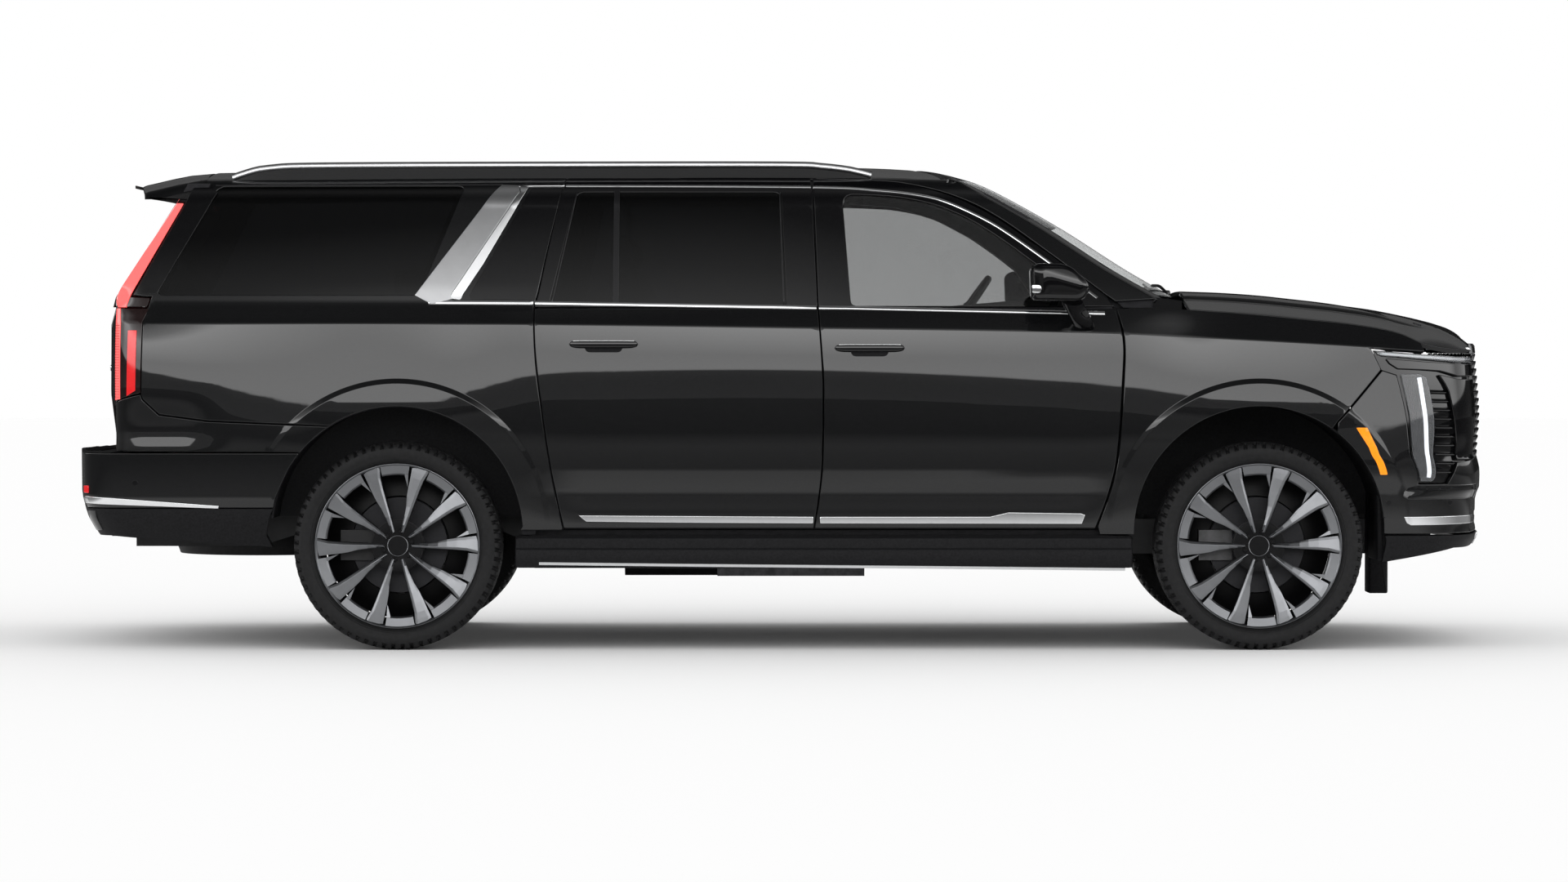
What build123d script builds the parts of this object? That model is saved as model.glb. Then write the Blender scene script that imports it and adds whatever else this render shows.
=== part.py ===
"""Full-size SUV: a steel body on a ladder frame, with doors, lids, steering and wheels that move.

X runs forward, Y to the left and Z up, in millimetres. The origin is on the ground, midway along
the car. Right-hand pieces are modelled first, and the left-hand ones are their mirror images.
"""
import os
from functools import lru_cache

from build123d import *

# Overall sizes
LENGTH = 5766
NOSE_X = LENGTH / 2
TAIL_X = -LENGTH / 2
WHEELBASE = 3407
FRONT_AXLE_X = 1901
REAR_AXLE_X = FRONT_AXLE_X - WHEELBASE
TRACK = 1745
HALF_WIDTH = 1018
FLARE = 11

# Heights of the body's main lines
TUB_LOW_Z = 300
BOARD_TOP_Z = 452
DOOR_BOTTOM_Z = 478
CREASE_Z = 1285
BELT_Z = 1352
CANTRAIL_Z = 1850

# Body shells and shut lines
PANEL_GAP = 7
GATE_X = -2662
DOOR_INNER_Y = 905
FLANGE_Y = 965
SILL_INNER_Y = 850
SEAL_GAP = 6
SEAT_GAP = 0.3
GATE_GAP = 13
SEAM = 0.6
FRAME_DEPTH = 24
PILLAR_DEPTH = 70
PANEL = 40
GLASS = 5
GLASS_INSET = 5
SKIN = 25

# Wheels and tyres
TYRE_R = 410
TYRE_WIDTH = 285
RIM_R = 324
BEAD_R = 305
HUB_FACE_Y = 900
HUB_R = 88
SPOKES = 10
DISC_R = 190
DISC_WALL = 30
SPINDLE_R = 32
RUNNING_CLEARANCE = 0.1
BRAKE_GAP = 6
WHEEL_Z = TYRE_R
WHEEL_Y = TRACK / 2
KINGPIN_Y = 795
KINGPIN_R = 14
ARCH_R = 492
ARCH_Z = 468
FLARE_R = 584
LINER_WALL = 7

# Chassis
RAIL_Y = 450
RAIL_WIDTH = 80
RAIL_HEIGHT = 140
RAIL_Z = 360
FLOOR_Z = 545
FLOOR_WALL = 40
CARGO_FLOOR_Z = 700
LOAD_PANEL = 14
FIREWALL_X = 1330
FRONT_SEAT_X = 270
SECOND_SEAT_X = -480
BENCH_X = -1400
SEAT_Y = 400
SEAT_WIDTH = 540
RECEIVER = 50.8
RECEIVER_WALL = 6.4
HITCH_PIN_R = 8

# Hinge lines
HOOD_REAR_X = 1652
HOOD_HINGE_Z = 1421
GATE_TOP_X = -2318
GATE_LOW_Z = 806
WINDSHIELD_AXIS_X = -1200
GATE_AXIS_X = 3000


# The body's outer surfaces ------------------------------------------------------------------

def plan_outline(half_width, front, rear):
    """The body's outline from above, with bowed sides and rounded corners."""
    bow_front, bow_rear, bulge = 150, 60, 25
    corner_front, corner_rear = 300, 150
    x_front, x_rear, side = front - bow_front, rear + bow_rear, half_width - bulge
    x_mid = (x_front + x_rear) / 2
    with BuildSketch() as outline:
        with BuildLine():
            ThreePointArc((x_front, -side), (front, 0), (x_front, side))
            ThreePointArc((x_front, side), (x_mid, half_width), (x_rear, side))
            ThreePointArc((x_rear, side), (rear, 0), (x_rear, -side))
            ThreePointArc((x_rear, -side), (x_mid, -half_width), (x_front, -side))
        make_face()
        fillet(outline.vertices().sort_by(Axis.X)[-2:], corner_front)
        fillet(outline.vertices().sort_by(Axis.X)[:2], corner_rear)
    return outline.sketch


@lru_cache
def body_tub(inset=0):
    """The lower body up to the belt line, lofted upwards through its plan outlines."""
    lower = [(TUB_LOW_Z, 952, 2838), (DOOR_BOTTOM_Z, 984, 2866), (630, 1003, NOSE_X), (1010, HALF_WIDTH, 2874),
             (CREASE_Z, 998, 2858)]
    upper = [lower[-1], (BELT_Z, 962, 2830)]
    with BuildPart() as tub:
        for height, half_width, front in lower:
            with BuildSketch(Plane.XY.offset(height)):
                add(plan_outline(half_width - inset, front - inset, GATE_X + inset))
        loft()
        for height, half_width, front in upper:
            with BuildSketch(Plane.XY.offset(height)):
                add(plan_outline(half_width - inset, front - inset, GATE_X + inset))
        loft(ruled=True)
    return tub.part


@lru_cache
def greenhouse(inset=0):
    """The glasshouse and roof, lofted along the car through its cross-sections."""
    stations = [(-2760, 925, 728, 1904), (-1300, 948, 772, 1926), (0, 950, 780, 1936),
                (800, 944, 742, 1908), (1700, 925, 700, 1890)]
    with BuildPart() as house:
        for x, belt, cantrail, crown in stations:
            with BuildSketch(Plane(origin=(x, 0, 0), x_dir=(0, 1, 0), z_dir=(1, 0, 0))) as section:
                with BuildLine():
                    Polyline((cantrail - inset, CANTRAIL_Z), (belt - inset, BELT_Z), (belt - inset, 1300),
                             (inset - belt, 1300), (inset - belt, BELT_Z), (inset - cantrail, CANTRAIL_Z))
                    ThreePointArc((inset - cantrail, CANTRAIL_Z), (0, crown - inset),
                                  (cantrail - inset, CANTRAIL_Z))
                make_face()
                fillet(section.vertices().group_by(Axis.Y)[-1], 70)
        loft()
    return house.part


def side_block(points, inner, outer, radius=0):
    """A block with a side-view outline, between two distances right of the centre plane."""
    with BuildPart() as block:
        with BuildSketch(Plane.XZ.offset(inner)) as outline:
            with BuildLine():
                Polyline(*points, close=True)
            make_face()
            if radius:
                fillet(outline.vertices(), radius)
        extrude(amount=outer - inner)
    return block.part


def lined_block(first_line, second_line, inner, outer):
    """A block between two curved shut lines, both drawn from the top down."""
    with BuildPart() as block:
        with BuildSketch(Plane.XZ.offset(inner)):
            with BuildLine():
                Spline(*first_line)
                Line(first_line[-1], second_line[-1])
                Spline(*second_line)
                Line(second_line[0], first_line[0])
            make_face()
        extrude(amount=outer - inner)
    return block.part


def edged_block(curve, rest, inner, outer):
    """A block with one curved side, drawn from the top down, and straight sides for the rest."""
    with BuildPart() as block:
        with BuildSketch(Plane.XZ.offset(inner)):
            with BuildLine():
                Spline(*curve)
                Polyline(curve[-1], *rest, curve[0])
            make_face()
        extrude(amount=outer - inner)
    return block.part


def shifted(points, dx, dz=0):
    return [(x + dx, z + dz) for x, z in points]


def cylinder_y(x, z, radius, inner, outer):
    """A cylinder across the car on its right-hand side."""
    with BuildPart() as body:
        with BuildSketch(Plane.XZ.offset(inner)):
            with Locations((x, z)):
                Circle(radius)
        extrude(amount=outer - inner)
    return body.part


def box_between(low, high):
    """A plain box between two corners."""
    size = [b - a for a, b in zip(low, high)]
    with BuildPart() as box:
        with Locations(tuple(low)):
            Box(*size, align=(Align.MIN, Align.MIN, Align.MIN))
    return box.part


def meet(first, second):
    with BuildPart() as common:
        add(first)
        add(second, mode=Mode.INTERSECT)
    return common.part


def cut(first, *others):
    with BuildPart() as rest:
        add(first)
        for other in others:
            add(other, mode=Mode.SUBTRACT)
    return rest.part


def join(*pieces):
    with BuildPart() as whole:
        for piece in pieces:
            add(piece)
    return whole.part


def both_sides(piece):
    """A right-hand piece and its mirror image, as separate solids."""
    return join(piece, piece.mirror(Plane.XZ))


def save(piece, name):
    """Write one sub-part, under the name of its node."""
    piece.label = name
    export_step(piece, f"parts/{name}.step")


TUB = body_tub()
HOUSE = greenhouse()
FRAME_BACK = greenhouse(FRAME_DEPTH)
PILLAR_FACE = greenhouse(FRAME_DEPTH + SEAL_GAP)
PILLAR_BACK = greenhouse(FRAME_DEPTH + PILLAR_DEPTH)

# Shut lines of the doors, from the belt down
A_LINE = [(1335, BELT_Z), (1364, 1235), (1364, 1080), (1334, 722), (1258, DOOR_BOTTOM_Z)]
B_LINE = [(157, BELT_Z), (172, 1148), (178, 1000), (171, 700), (141, DOOR_BOTTOM_Z)]
C_LINE = [(-967, BELT_Z), (-961, 1180), (-944, 1019), (-900, 720), (-850, DOOR_BOTTOM_Z)]
B_TOP = (130, 1856)
C_TOP = (-837, 1856)


def arch_cut(axle_x, radius, inner, outer):
    """The round wheel opening, cut down to the ground."""
    opening = cylinder_y(axle_x, ARCH_Z, radius, inner, outer)
    drop = side_block([(axle_x - radius, ARCH_Z), (axle_x + radius, ARCH_Z),
                       (axle_x + radius, 0), (axle_x - radius, 0)], inner, outer)
    return join(opening, drop)


def arch_clearance(axle_x):
    """The wheel opening through a panel, with room inside it for the liner."""
    return join(arch_cut(axle_x, ARCH_R + LINER_WALL + 2.5, 450, 975), arch_cut(axle_x, ARCH_R, 970, 1250))


def flare_ring(axle_x):
    """The lip round a wheel opening, a little proud of the body side."""
    ring = cut(cylinder_y(axle_x, ARCH_Z, FLARE_R, 975, 1200),
               arch_cut(axle_x, ARCH_R, 900, 1250))
    return meet(ring, body_tub(-FLARE))


# Doors --------------------------------------------------------------------------------------

def door_leaf(front_line, rear_line, upper, window):
    """A door: outer skin with a flange all round, inner box, and window frame."""
    box = meet(TUB, lined_block(front_line, rear_line, DOOR_INNER_Y, 1200))
    rim = 30
    core = lined_block(shifted(front_line[:-1], -rim) + [(front_line[-1][0] - rim, DOOR_BOTTOM_Z + rim)],
                       shifted(rear_line[:-1], rim) + [(rear_line[-1][0] + rim, DOOR_BOTTOM_Z + rim)],
                       DOOR_INNER_Y - 10, FLANGE_Y)
    rebate = cut(lined_block(shifted(front_line, 30), shifted(rear_line, -30), DOOR_INNER_Y - 10, FLANGE_Y),
                 core)
    leaf = cut(box, rebate)
    frame = cut(meet(HOUSE, side_block(upper, 500, 1200)), FRAME_BACK)
    waist = meet(box_between((-1100, -(DOOR_INNER_Y + 55), BELT_Z - 45), (1400, -DOOR_INNER_Y, BELT_Z)),
                 side_block(upper[:2] + [(upper[1][0], 1000), (upper[0][0], 1000)], 800, 1200))
    frame = cut(frame, side_block(window, 400, 1300, 18))
    return join(leaf, frame, waist)


def window_pane(window):
    """A pane let into the frame, flush with its outer face."""
    outer = meet(greenhouse(GLASS_INSET), side_block(window, 400, 1300, 18))
    return cut(outer, greenhouse(GLASS_INSET + GLASS))


FRONT_DOOR_UPPER = [(1335, BELT_Z - 30), (157 + PANEL_GAP, BELT_Z - 30), (B_TOP[0] + PANEL_GAP, B_TOP[1]),
                    (520, 1842), (700, 1795), (870, 1710), (1068, 1570), (1299, 1402)]
FRONT_WINDOW = [(255, BELT_Z + 4), (232, 1814), (500, 1792), (680, 1735), (860, 1640), (1010, 1530),
                (1130, BELT_Z + 4)]
REAR_DOOR_UPPER = [(157 - PANEL_GAP, BELT_Z - 30), (-967 + PANEL_GAP, BELT_Z - 30),
                   (C_TOP[0] + PANEL_GAP, C_TOP[1]), (B_TOP[0] - PANEL_GAP, B_TOP[1])]
REAR_WINDOW = [(20, BELT_Z + 4), (10, 1822), (-745, 1822), (-845, BELT_Z + 4)]

door_front = door_leaf(shifted(A_LINE, -PANEL_GAP), shifted(B_LINE, PANEL_GAP / 2),
                       FRONT_DOOR_UPPER, FRONT_WINDOW)
door_rear = door_leaf(shifted(B_LINE, -PANEL_GAP / 2), shifted(C_LINE, PANEL_GAP),
                      REAR_DOOR_UPPER, REAR_WINDOW)


# Body sides, roof and glass -----------------------------------------------------------------

@lru_cache
def screen_solid(depth):
    """All that lies ahead of the windshield's face, less a depth of glass."""
    with BuildPart() as ahead:
        with BuildSketch(Plane.XZ):
            with BuildLine():
                Spline((420 - depth, 1945), (700 - depth, 1900), (890 - depth, 1832), (1160 - depth, 1683),
                       (1430 - depth, 1512), (1640 - depth, 1392))
                Polyline((1640 - depth, 1392), (1610, 1250), (2500, 1250), (2500, 1945), (420 - depth, 1945))
            make_face()
        revolve(axis=Axis((WINDSHIELD_AXIS_X, 0, 0), (0, 0, 1)), revolution_arc=60)
    turned = ahead.part.rotate(Axis((WINDSHIELD_AXIS_X, 0, 0), (0, 0, 1)), 30)
    return turned if meets_both_sides(turned) else ahead.part.rotate(
        Axis((WINDSHIELD_AXIS_X, 0, 0), (0, 0, 1)), -30)


def meets_both_sides(piece):
    box = piece.bounding_box()
    return abs(box.min.Y + box.max.Y) < 1


def front_view_block(points, x_low, x_high):
    """A block with an outline drawn looking along the car."""
    with BuildPart() as block:
        with BuildSketch(Plane(origin=(x_low, 0, 0), x_dir=(0, 1, 0), z_dir=(1, 0, 0))):
            with BuildLine():
                Polyline(*points, close=True)
            make_face()
        extrude(amount=x_high - x_low)
    return block.part


def mirrored_outline(points):
    """A symmetric outline from its left-hand points."""
    return points + [(-y, z) for y, z in reversed(points)]


def gate_zone(gap):
    """The space between the tail lamps, up to the spoiler's full width."""
    half = [(785 + gap, 790), (785 + gap, BELT_Z), (672 + gap, 1790 - gap), (900, 1790 - gap), (900, 1990)]
    return front_view_block(mirrored_outline(half), TAIL_X, GATE_TOP_X + gap)


REAR_SLOPE = [(GATE_X - 10, 1270), (-2628, 1395), (-2398, 1772), (-2330, 1862), (-2330, 2000), (-3000, 2000),
              (-3000, 1270)]
HOUSE_TRIMMED = cut(HOUSE, screen_solid(0), side_block(REAR_SLOPE, -1200, 1200))
ROOF_SIDE_Y = 684
ROOF_FRONT_Z = 1862
SCREEN_EDGE = [(802, 1290), (802, 1402), (618, ROOF_FRONT_Z), (618, 2000)]
LAMP_OUTLINE = [(-2402, 1776), (-2366, 1776), (-2562, 1400), (-2486, 1394), (-2514, 1296), (-2519, 1012),
                (-2760, 1012), (-2760, 1776)]
QUARTER_WINDOW = [(-2240, 1812), (-2460, 1404), (-1440, 1404), (-1270, 1832)]


def roof_panel():
    """The roof skin between the two body sides, from the windshield header to the liftgate."""
    skin = cut(HOUSE_TRIMMED, greenhouse(SKIN))
    zone = box_between((GATE_TOP_X + PANEL_GAP, -ROOF_SIDE_Y, ROOF_FRONT_Z + 4), (1000, ROOF_SIDE_Y, 2000))
    return meet(skin, zone)


def body_side():
    """Quarter panel, sill, pillars and roof rail of the right-hand side, as one pressing."""
    shell = cut(HOUSE_TRIMMED, PILLAR_BACK, box_between((-3000, -1200, 0), (2000, 1200, BELT_Z)))
    right = meet(shell, box_between((-3000, -1200, 0), (2000, -610, 2000)))
    roof_zone = box_between((-2400, -ROOF_SIDE_Y, ROOF_FRONT_Z + 4), (1000, ROOF_SIDE_Y, 2000))
    screen_zone = front_view_block(mirrored_outline(SCREEN_EDGE), 400, 2000)
    gap = PANEL_GAP
    front_opening = side_block([(1365, 1300), (157, 1300), (B_TOP[0], B_TOP[1] + gap), (530, 1849), (706, 1803),
                                (880, 1716), (1078, 1577), (1318, 1398), (1365, BELT_Z)], 300, 1300)
    rear_opening = side_block([(157, 1300), (-967, 1300), (C_TOP[0], C_TOP[1] + gap),
                               (B_TOP[0], B_TOP[1] + gap)], 300, 1300)
    apertures = [side_block(window, 300, 1300, 18) for window in (FRONT_WINDOW, REAR_WINDOW, QUARTER_WINDOW)]
    lamp_zone = side_block(LAMP_OUTLINE, 300, 1300)
    upper = cut(right, roof_zone, screen_zone, gate_zone(GATE_GAP), cut(front_opening, PILLAR_FACE),
                cut(rear_opening, PILLAR_FACE), lamp_zone, *apertures)
    quarter_rest = [(-860, 470), (-1700, 470), (-1847, 887), (-2255, 904), (-2447, 929), (-2512, 990),
                    (-2519, 1012), (-2514, 1296), (-2486, BELT_Z)]
    quarter = cut(meet(TUB, edged_block(C_LINE, quarter_rest, SILL_INNER_Y, 1200)), arch_clearance(REAR_AXLE_X))
    ring = side_block([(1440, BOARD_TOP_Z), (1440, BELT_Z), (-1150, BELT_Z), (-1150, 700), (-1000, BOARD_TOP_Z)],
                      SILL_INNER_Y, DOOR_INNER_Y - SEAL_GAP)
    ways, seals = [], []
    for front_line, rear_line in [(shifted(A_LINE, -10), B_LINE), (B_LINE, C_LINE)]:
        ways.append(lined_block(shifted(front_line, -70, 20), shifted(rear_line, 70, 20), 800, 1000))
        strip = lined_block(shifted(front_line, -54, 8), shifted(rear_line, 54, 8), SILL_INNER_Y + 20,
                            DOOR_INNER_Y - SEAT_GAP)
        seals.append(meet(strip, box_between((-1200, -1000, 0), (1500, 0, BELT_Z - 50))))
    ring = cut(join(ring, *seals), *ways, arch_clearance(REAR_AXLE_X), arch_clearance(FRONT_AXLE_X))
    rocker = box_between((-1000, -925, BOARD_TOP_Z), (1390, -SILL_INNER_Y, DOOR_BOTTOM_Z - PANEL_GAP))
    flare = meet(flare_ring(REAR_AXLE_X), side_block([(-960, BOARD_TOP_Z + 1), (-960, 1200), (-2200, 1200),
                                                      (-1847, 887), (-1844.5, 887), (-1844.5, BOARD_TOP_Z + 1)],
                                                     900, 1200))
    rocker = cut(rocker, arch_clearance(REAR_AXLE_X))
    return join(upper, quarter, ring, rocker, flare)


def fixed_glass():
    """The windshield and the two quarter panes."""
    face = cut(screen_solid(GLASS), screen_solid(0))
    bottom, top = (800, 1402), (616, ROOF_FRONT_Z + 3)
    pane = meet(meet(face, front_view_block(mirrored_outline([bottom, top]), 300, 2000)), HOUSE)
    return join(pane, both_sides(window_pane(QUARTER_WINDOW)))


# Front end ----------------------------------------------------------------------------------

TUB_BACK = body_tub(PANEL)
SHELL = cut(TUB, TUB_BACK)
HOOD_SEAM = [(HOOD_REAR_X, 1343), (2088, 1306), (2305, 1283), (2464, 1250), (2560, 1205), (2720, 1176),
             (2950, 1172)]
FENDER_SEAM = [(2207, 470), (2207, 899), (2384, 1106), (2337, 1190)]
GRILLE_HALF = 700
GRILLE_LOW_Z = 612
GRILLE_HIGH_Z = 1166


@lru_cache
def hood_form(inset):
    """The hood's outer form, less an inset: lofted forward, then cut to the plan of the nose."""
    stations = [(HOOD_REAR_X + inset, 964, 1330, HOOD_HINGE_Z), (2000, 982, 1300, 1402), (2400, 992, 1262, 1357),
                (2640, 992, 1235, 1316), (2950, 985, 1195, 1252)]
    with BuildPart() as form:
        for x, half, side_z, crown in stations:
            half, side_z, crown = half - inset, side_z - inset, crown - inset
            with BuildSketch(Plane(origin=(x, 0, 0), x_dir=(0, 1, 0), z_dir=(1, 0, 0))):
                with BuildLine():
                    Spline((half, side_z), (half - 45, side_z + 42), (half - 170, crown - 20), (0, crown),
                           (170 - half, crown - 20), (45 - half, side_z + 42), (-half, side_z))
                    Polyline((-half, side_z), (-half, 1100), (half, 1100), (half, side_z))
                make_face()
        loft()
        with BuildSketch(Plane.XY.offset(1000)):
            add(plan_outline(996 - inset, 2856 - inset, 0))
        extrude(amount=600, mode=Mode.INTERSECT)
        nose = form.edges().filter_by(lambda e: e.bounding_box().min.X > 2500 and e.bounding_box().min.Z > 1200)
        fillet(nose, 60 - inset)
    return form.part


def hood_panel():
    above = side_block(shifted(HOOD_SEAM, 0, PANEL_GAP / 2) + [(2950, 1600), (HOOD_REAR_X, 1600)], -1200, 1200)
    return meet(cut(hood_form(0), hood_form(SKIN)), above)


def front_fender():
    """The right-hand fender, from the door to the bumper, with its share of the arch lip."""
    outline = [(1400, DOOR_BOTTOM_Z)] + FENDER_SEAM[:-1] + [(2342, 1186 + SEAM), (2560, 1172 + SEAM), (2545, 1203)]
    outline += [(x, z - PANEL_GAP / 2) for x, z in reversed(HOOD_SEAM[:4])] + [(HOOD_REAR_X, BELT_Z)]
    skin = meet(SHELL, edged_block(A_LINE, outline, 700, 1200))
    flare = meet(flare_ring(FRONT_AXLE_X), side_block([(1290, BOARD_TOP_Z + 1), (1290, 1200), (2384, 1200),
                                                       (2384, 1106), (2207, 899), (2207, BOARD_TOP_Z + 1)],
                                                      900, 1200))
    return join(cut(skin, arch_clearance(FRONT_AXLE_X)), flare)


def front_bumper():
    """Bumper cover, wrapped round both corners up to the headlamps."""
    gap = SEAM
    outline = [(2207 + gap, 440), (2207 + gap, 899 - gap), (2384 + gap, 1106), (2441 - gap, 1089), (2530 - gap, 655),
               (2649 + gap, 652 - gap), (2694 + gap, 739 - gap), (2950, 739 - gap), (2950, 392), (2700, 392),
               (2387, 338), (2300, 338)]
    skin = meet(SHELL, side_block(outline, -1200, 1200))
    mouth = box_between((2500, -GRILLE_HALF - gap, GRILLE_LOW_Z), (3000, GRILLE_HALF + gap, 1200))
    arch = arch_clearance(FRONT_AXLE_X)
    flare = meet(flare_ring(FRONT_AXLE_X), side_block([(2207 + gap, 338), (2207 + gap, 899 - gap),
                                                       (2384 + gap, 1106), (2441 - gap, 1089), (2530 - gap, 655),
                                                       (2530 - gap, 338)], 900, 1200))
    flap = box_between((2352, -960, 212), (2420, -800, 345))
    side = join(flare, flap)
    return join(cut(skin, mouth, arch, arch.mirror(Plane.XZ)), side, side.mirror(Plane.XZ))


def radiator_grille():
    """Grille: a frame, level bars and uprights, all bowed with the nose."""
    bars, bar, depth = 9, 14, 45
    half, low, high = GRILLE_HALF, GRILLE_LOW_Z + SEAM, GRILLE_HIGH_Z
    band = cut(body_tub(6), body_tub(6 + depth))
    face = meet(band, box_between((2500, -half, low), (3000, half, high)))
    pitch = (high - low - 2 * bar) / bars
    with BuildPart() as grille:
        add(face)
        for row in range(bars):
            z_low = low + bar + row * pitch + bar / 2
            for column in (-1, 0, 1):
                with Locations((2800, column * (2 * half - 40) / 3, z_low + (pitch - bar) / 2)):
                    Box(400, (2 * half - 40) / 3 - 12, pitch - bar, mode=Mode.SUBTRACT)
    return grille.part


def headlamp():
    """The right-hand lamp unit: brow, upright lamp and its bezel, back to the grille."""
    outline = [(2345, 1186), (2700, 1160), (2950, 1164), (2950, 739), (2694, 739), (2649, 652), (2530, 656),
               (2441, 1089), (2384 + SEAM, 1106)]
    unit = cut(TUB, body_tub(95))
    return meet(unit, side_block(outline, GRILLE_HALF + SEAM, 1200))


# Rear end -----------------------------------------------------------------------------------

def tail_lamp():
    """The right-hand lamp: a narrow strip up the pillar and a wider unit in the quarter."""
    shell = join(cut(HOUSE_TRIMMED, greenhouse(90), box_between((-3000, -1200, 0), (2000, 1200, BELT_Z))),
                 cut(TUB, body_tub(90)))
    edge = SEAM
    outline = [(-2402, 1776 - edge), (-2366 - edge, 1776 - edge), (-2562 - edge, 1400 - edge),
               (-2486 - edge, 1394 - edge), (-2514 - edge, 1296), (-2519 - edge, 1012 + edge),
               (-2760, 1012 + edge), (-2760, 1776 - edge)]
    return cut(meet(shell, side_block(outline, 500, 1200)), gate_zone(GATE_GAP))


def gate_band(outer, inner):
    """A closed profile turned about an upright axis far ahead, so that the gate bows rearwards."""
    with BuildPart() as band:
        with BuildSketch(Plane.XZ):
            with BuildLine():
                Polyline(*outer, *reversed(inner), close=True)
            make_face()
        revolve(axis=Axis((GATE_AXIS_X, 0, 0), (0, 0, 1)), revolution_arc=20)
    turned = band.part.rotate(Axis((GATE_AXIS_X, 0, 0), (0, 0, 1)), 10)
    return turned if meets_both_sides(turned) else band.part.rotate(
        Axis((GATE_AXIS_X, 0, 0), (0, 0, 1)), -10)


GATE_FACE = [(GATE_TOP_X, 1911), (-2496, 1889), (-2604, 1868), (-2630, 1852), (-2600, 1834), (-2440, 1786),
             (-2684, 1395), (-2714, 1285), (-2716, 1010), (-2690, GATE_LOW_Z)]
GATE_BACK = [(GATE_TOP_X, 1868), (-2370, 1760), (-2596, 1380), (-2640, 1270), (-2642, 1010), (-2630, GATE_LOW_Z)]
GATE_GLASS_HALF = [(690, 1408), (610, 1772)]


def liftgate():
    """The liftgate with its spoiler, glass opening and plate recess."""
    envelope = join(HOUSE, box_between((-2900, -1000, 700), (-2200, 1000, 1500)))
    body = meet(meet(gate_band(GATE_FACE, GATE_BACK), gate_zone(0)), envelope)
    opening = front_view_block(mirrored_outline(GATE_GLASS_HALF), -2900, -2100)
    recess = box_between((-2800, -280, 900), (-2694, 280, 1080))
    return cut(body, opening, recess)


def liftgate_glass():
    face = [(-2443, 1790), (-2684, 1395)]
    return meet(gate_band(face, [(x + GLASS + 1, z) for x, z in face]),
                front_view_block(mirrored_outline(GATE_GLASS_HALF), -2900, -2100))


def rear_bumper_form(inset):
    levels = [(400, 925, -2768), (450, 950, -2826), (520, 984, -2862), (600, 1003, -2881), (779, 1008, TAIL_X)]
    with BuildPart() as form:
        for height, half_width, rear in levels:
            with BuildSketch(Plane.XY.offset(height)):
                add(plan_outline(half_width - inset, 2000, rear + inset))
        loft(ruled=True)
    return form.part


def rear_bumper():
    """Bumper cover with its step pad and the corner wings under the tail lamps."""
    cover = cut(rear_bumper_form(0), rear_bumper_form(PANEL).moved(Location((0, 0, -PANEL))))
    cover = meet(cover, side_block([(-2950, 395), (-2950, 790), (-1860, 790), (-1935, 372), (-2100, 395)],
                                   -1200, 1200))
    drop = SEAM
    wing = meet(SHELL, side_block([(-1845, 770), (-1847, 887 - drop), (-2255, 904 - drop), (-2447, 929 - drop),
                                   (-2512, 990 - drop), (-2519, 1012 - drop), (-2700, 1012 - drop), (-2700, 770)],
                                  792, 1200))
    arch = arch_clearance(REAR_AXLE_X)
    inside = box_between((-2640, -SILL_INNER_Y - 55, 300), (-1800, SILL_INNER_Y + 55, 800))
    pads = [box_between((-2675, y - 30, 739), (-2645, y + 30, GATE_LOW_Z - SEAT_GAP)) for y in (-300, 300)]
    hitch_notch = box_between((TAIL_X - 10, -100, 380), (-2640, 100, 495))
    clear = cut(cover, arch, arch.mirror(Plane.XZ), inside, hitch_notch)
    return join(clear, both_sides(cut(wing, arch)), *pads)


# Chassis ------------------------------------------------------------------------------------

def crossmember(x, z, size=70):
    """A box beam between the two rails, seated on their inner walls."""
    reach = RAIL_Y - RAIL_WIDTH / 2 - SEAT_GAP
    return box_between((x - size / 2, -reach, z - size / 2), (x + size / 2, reach, z + size / 2))


def hitch_receiver(x, z):
    """The square drawbar socket, with its pin hole, welded to the last crossmember."""
    with BuildPart() as socket:
        add(crossmember(x + 130, z))
        with Locations((x, 0, z)):
            Box(190, RECEIVER + 2 * RECEIVER_WALL, RECEIVER + 2 * RECEIVER_WALL)
            Box(190, RECEIVER, RECEIVER, mode=Mode.SUBTRACT)
        with Locations(Location((x - 25, 0, z), (90, 0, 0))):
            Cylinder(HITCH_PIN_R, 100, mode=Mode.SUBTRACT)
    return socket.part


def radiator_support(x, foot_z):
    """An upright frame ahead of the engine, with two stops that carry the closed hood."""
    half, wall, top = 500, 30, 1245
    outline = box_between((x - wall / 2, -half, foot_z + 8), (x + wall / 2, half, top))
    opening = box_between((x - wall, wall - half, foot_z + 60), (x + wall, half - wall, top - wall))
    below = box_between((x - wall, -RAIL_Y + RAIL_WIDTH / 2, 0), (x + wall, RAIL_Y - RAIL_WIDTH / 2, foot_z + 60))
    stops = [meet(box_between((x - wall / 2, y - wall / 2, top - wall), (x + wall / 2, y + wall / 2, top + 200)),
                  hood_form(SKIN).moved(Location((0, 0, -SEAT_GAP)))) for y in (wall / 2 - half, half - wall / 2)]
    feet = [box_between((x - wall / 2, y - 35, foot_z + SEAT_GAP), (x + wall / 2, y + 35, foot_z + 20))
            for y in (-RAIL_Y, RAIL_Y)]
    return join(cut(outline, opening, below), *stops, *feet)


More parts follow.
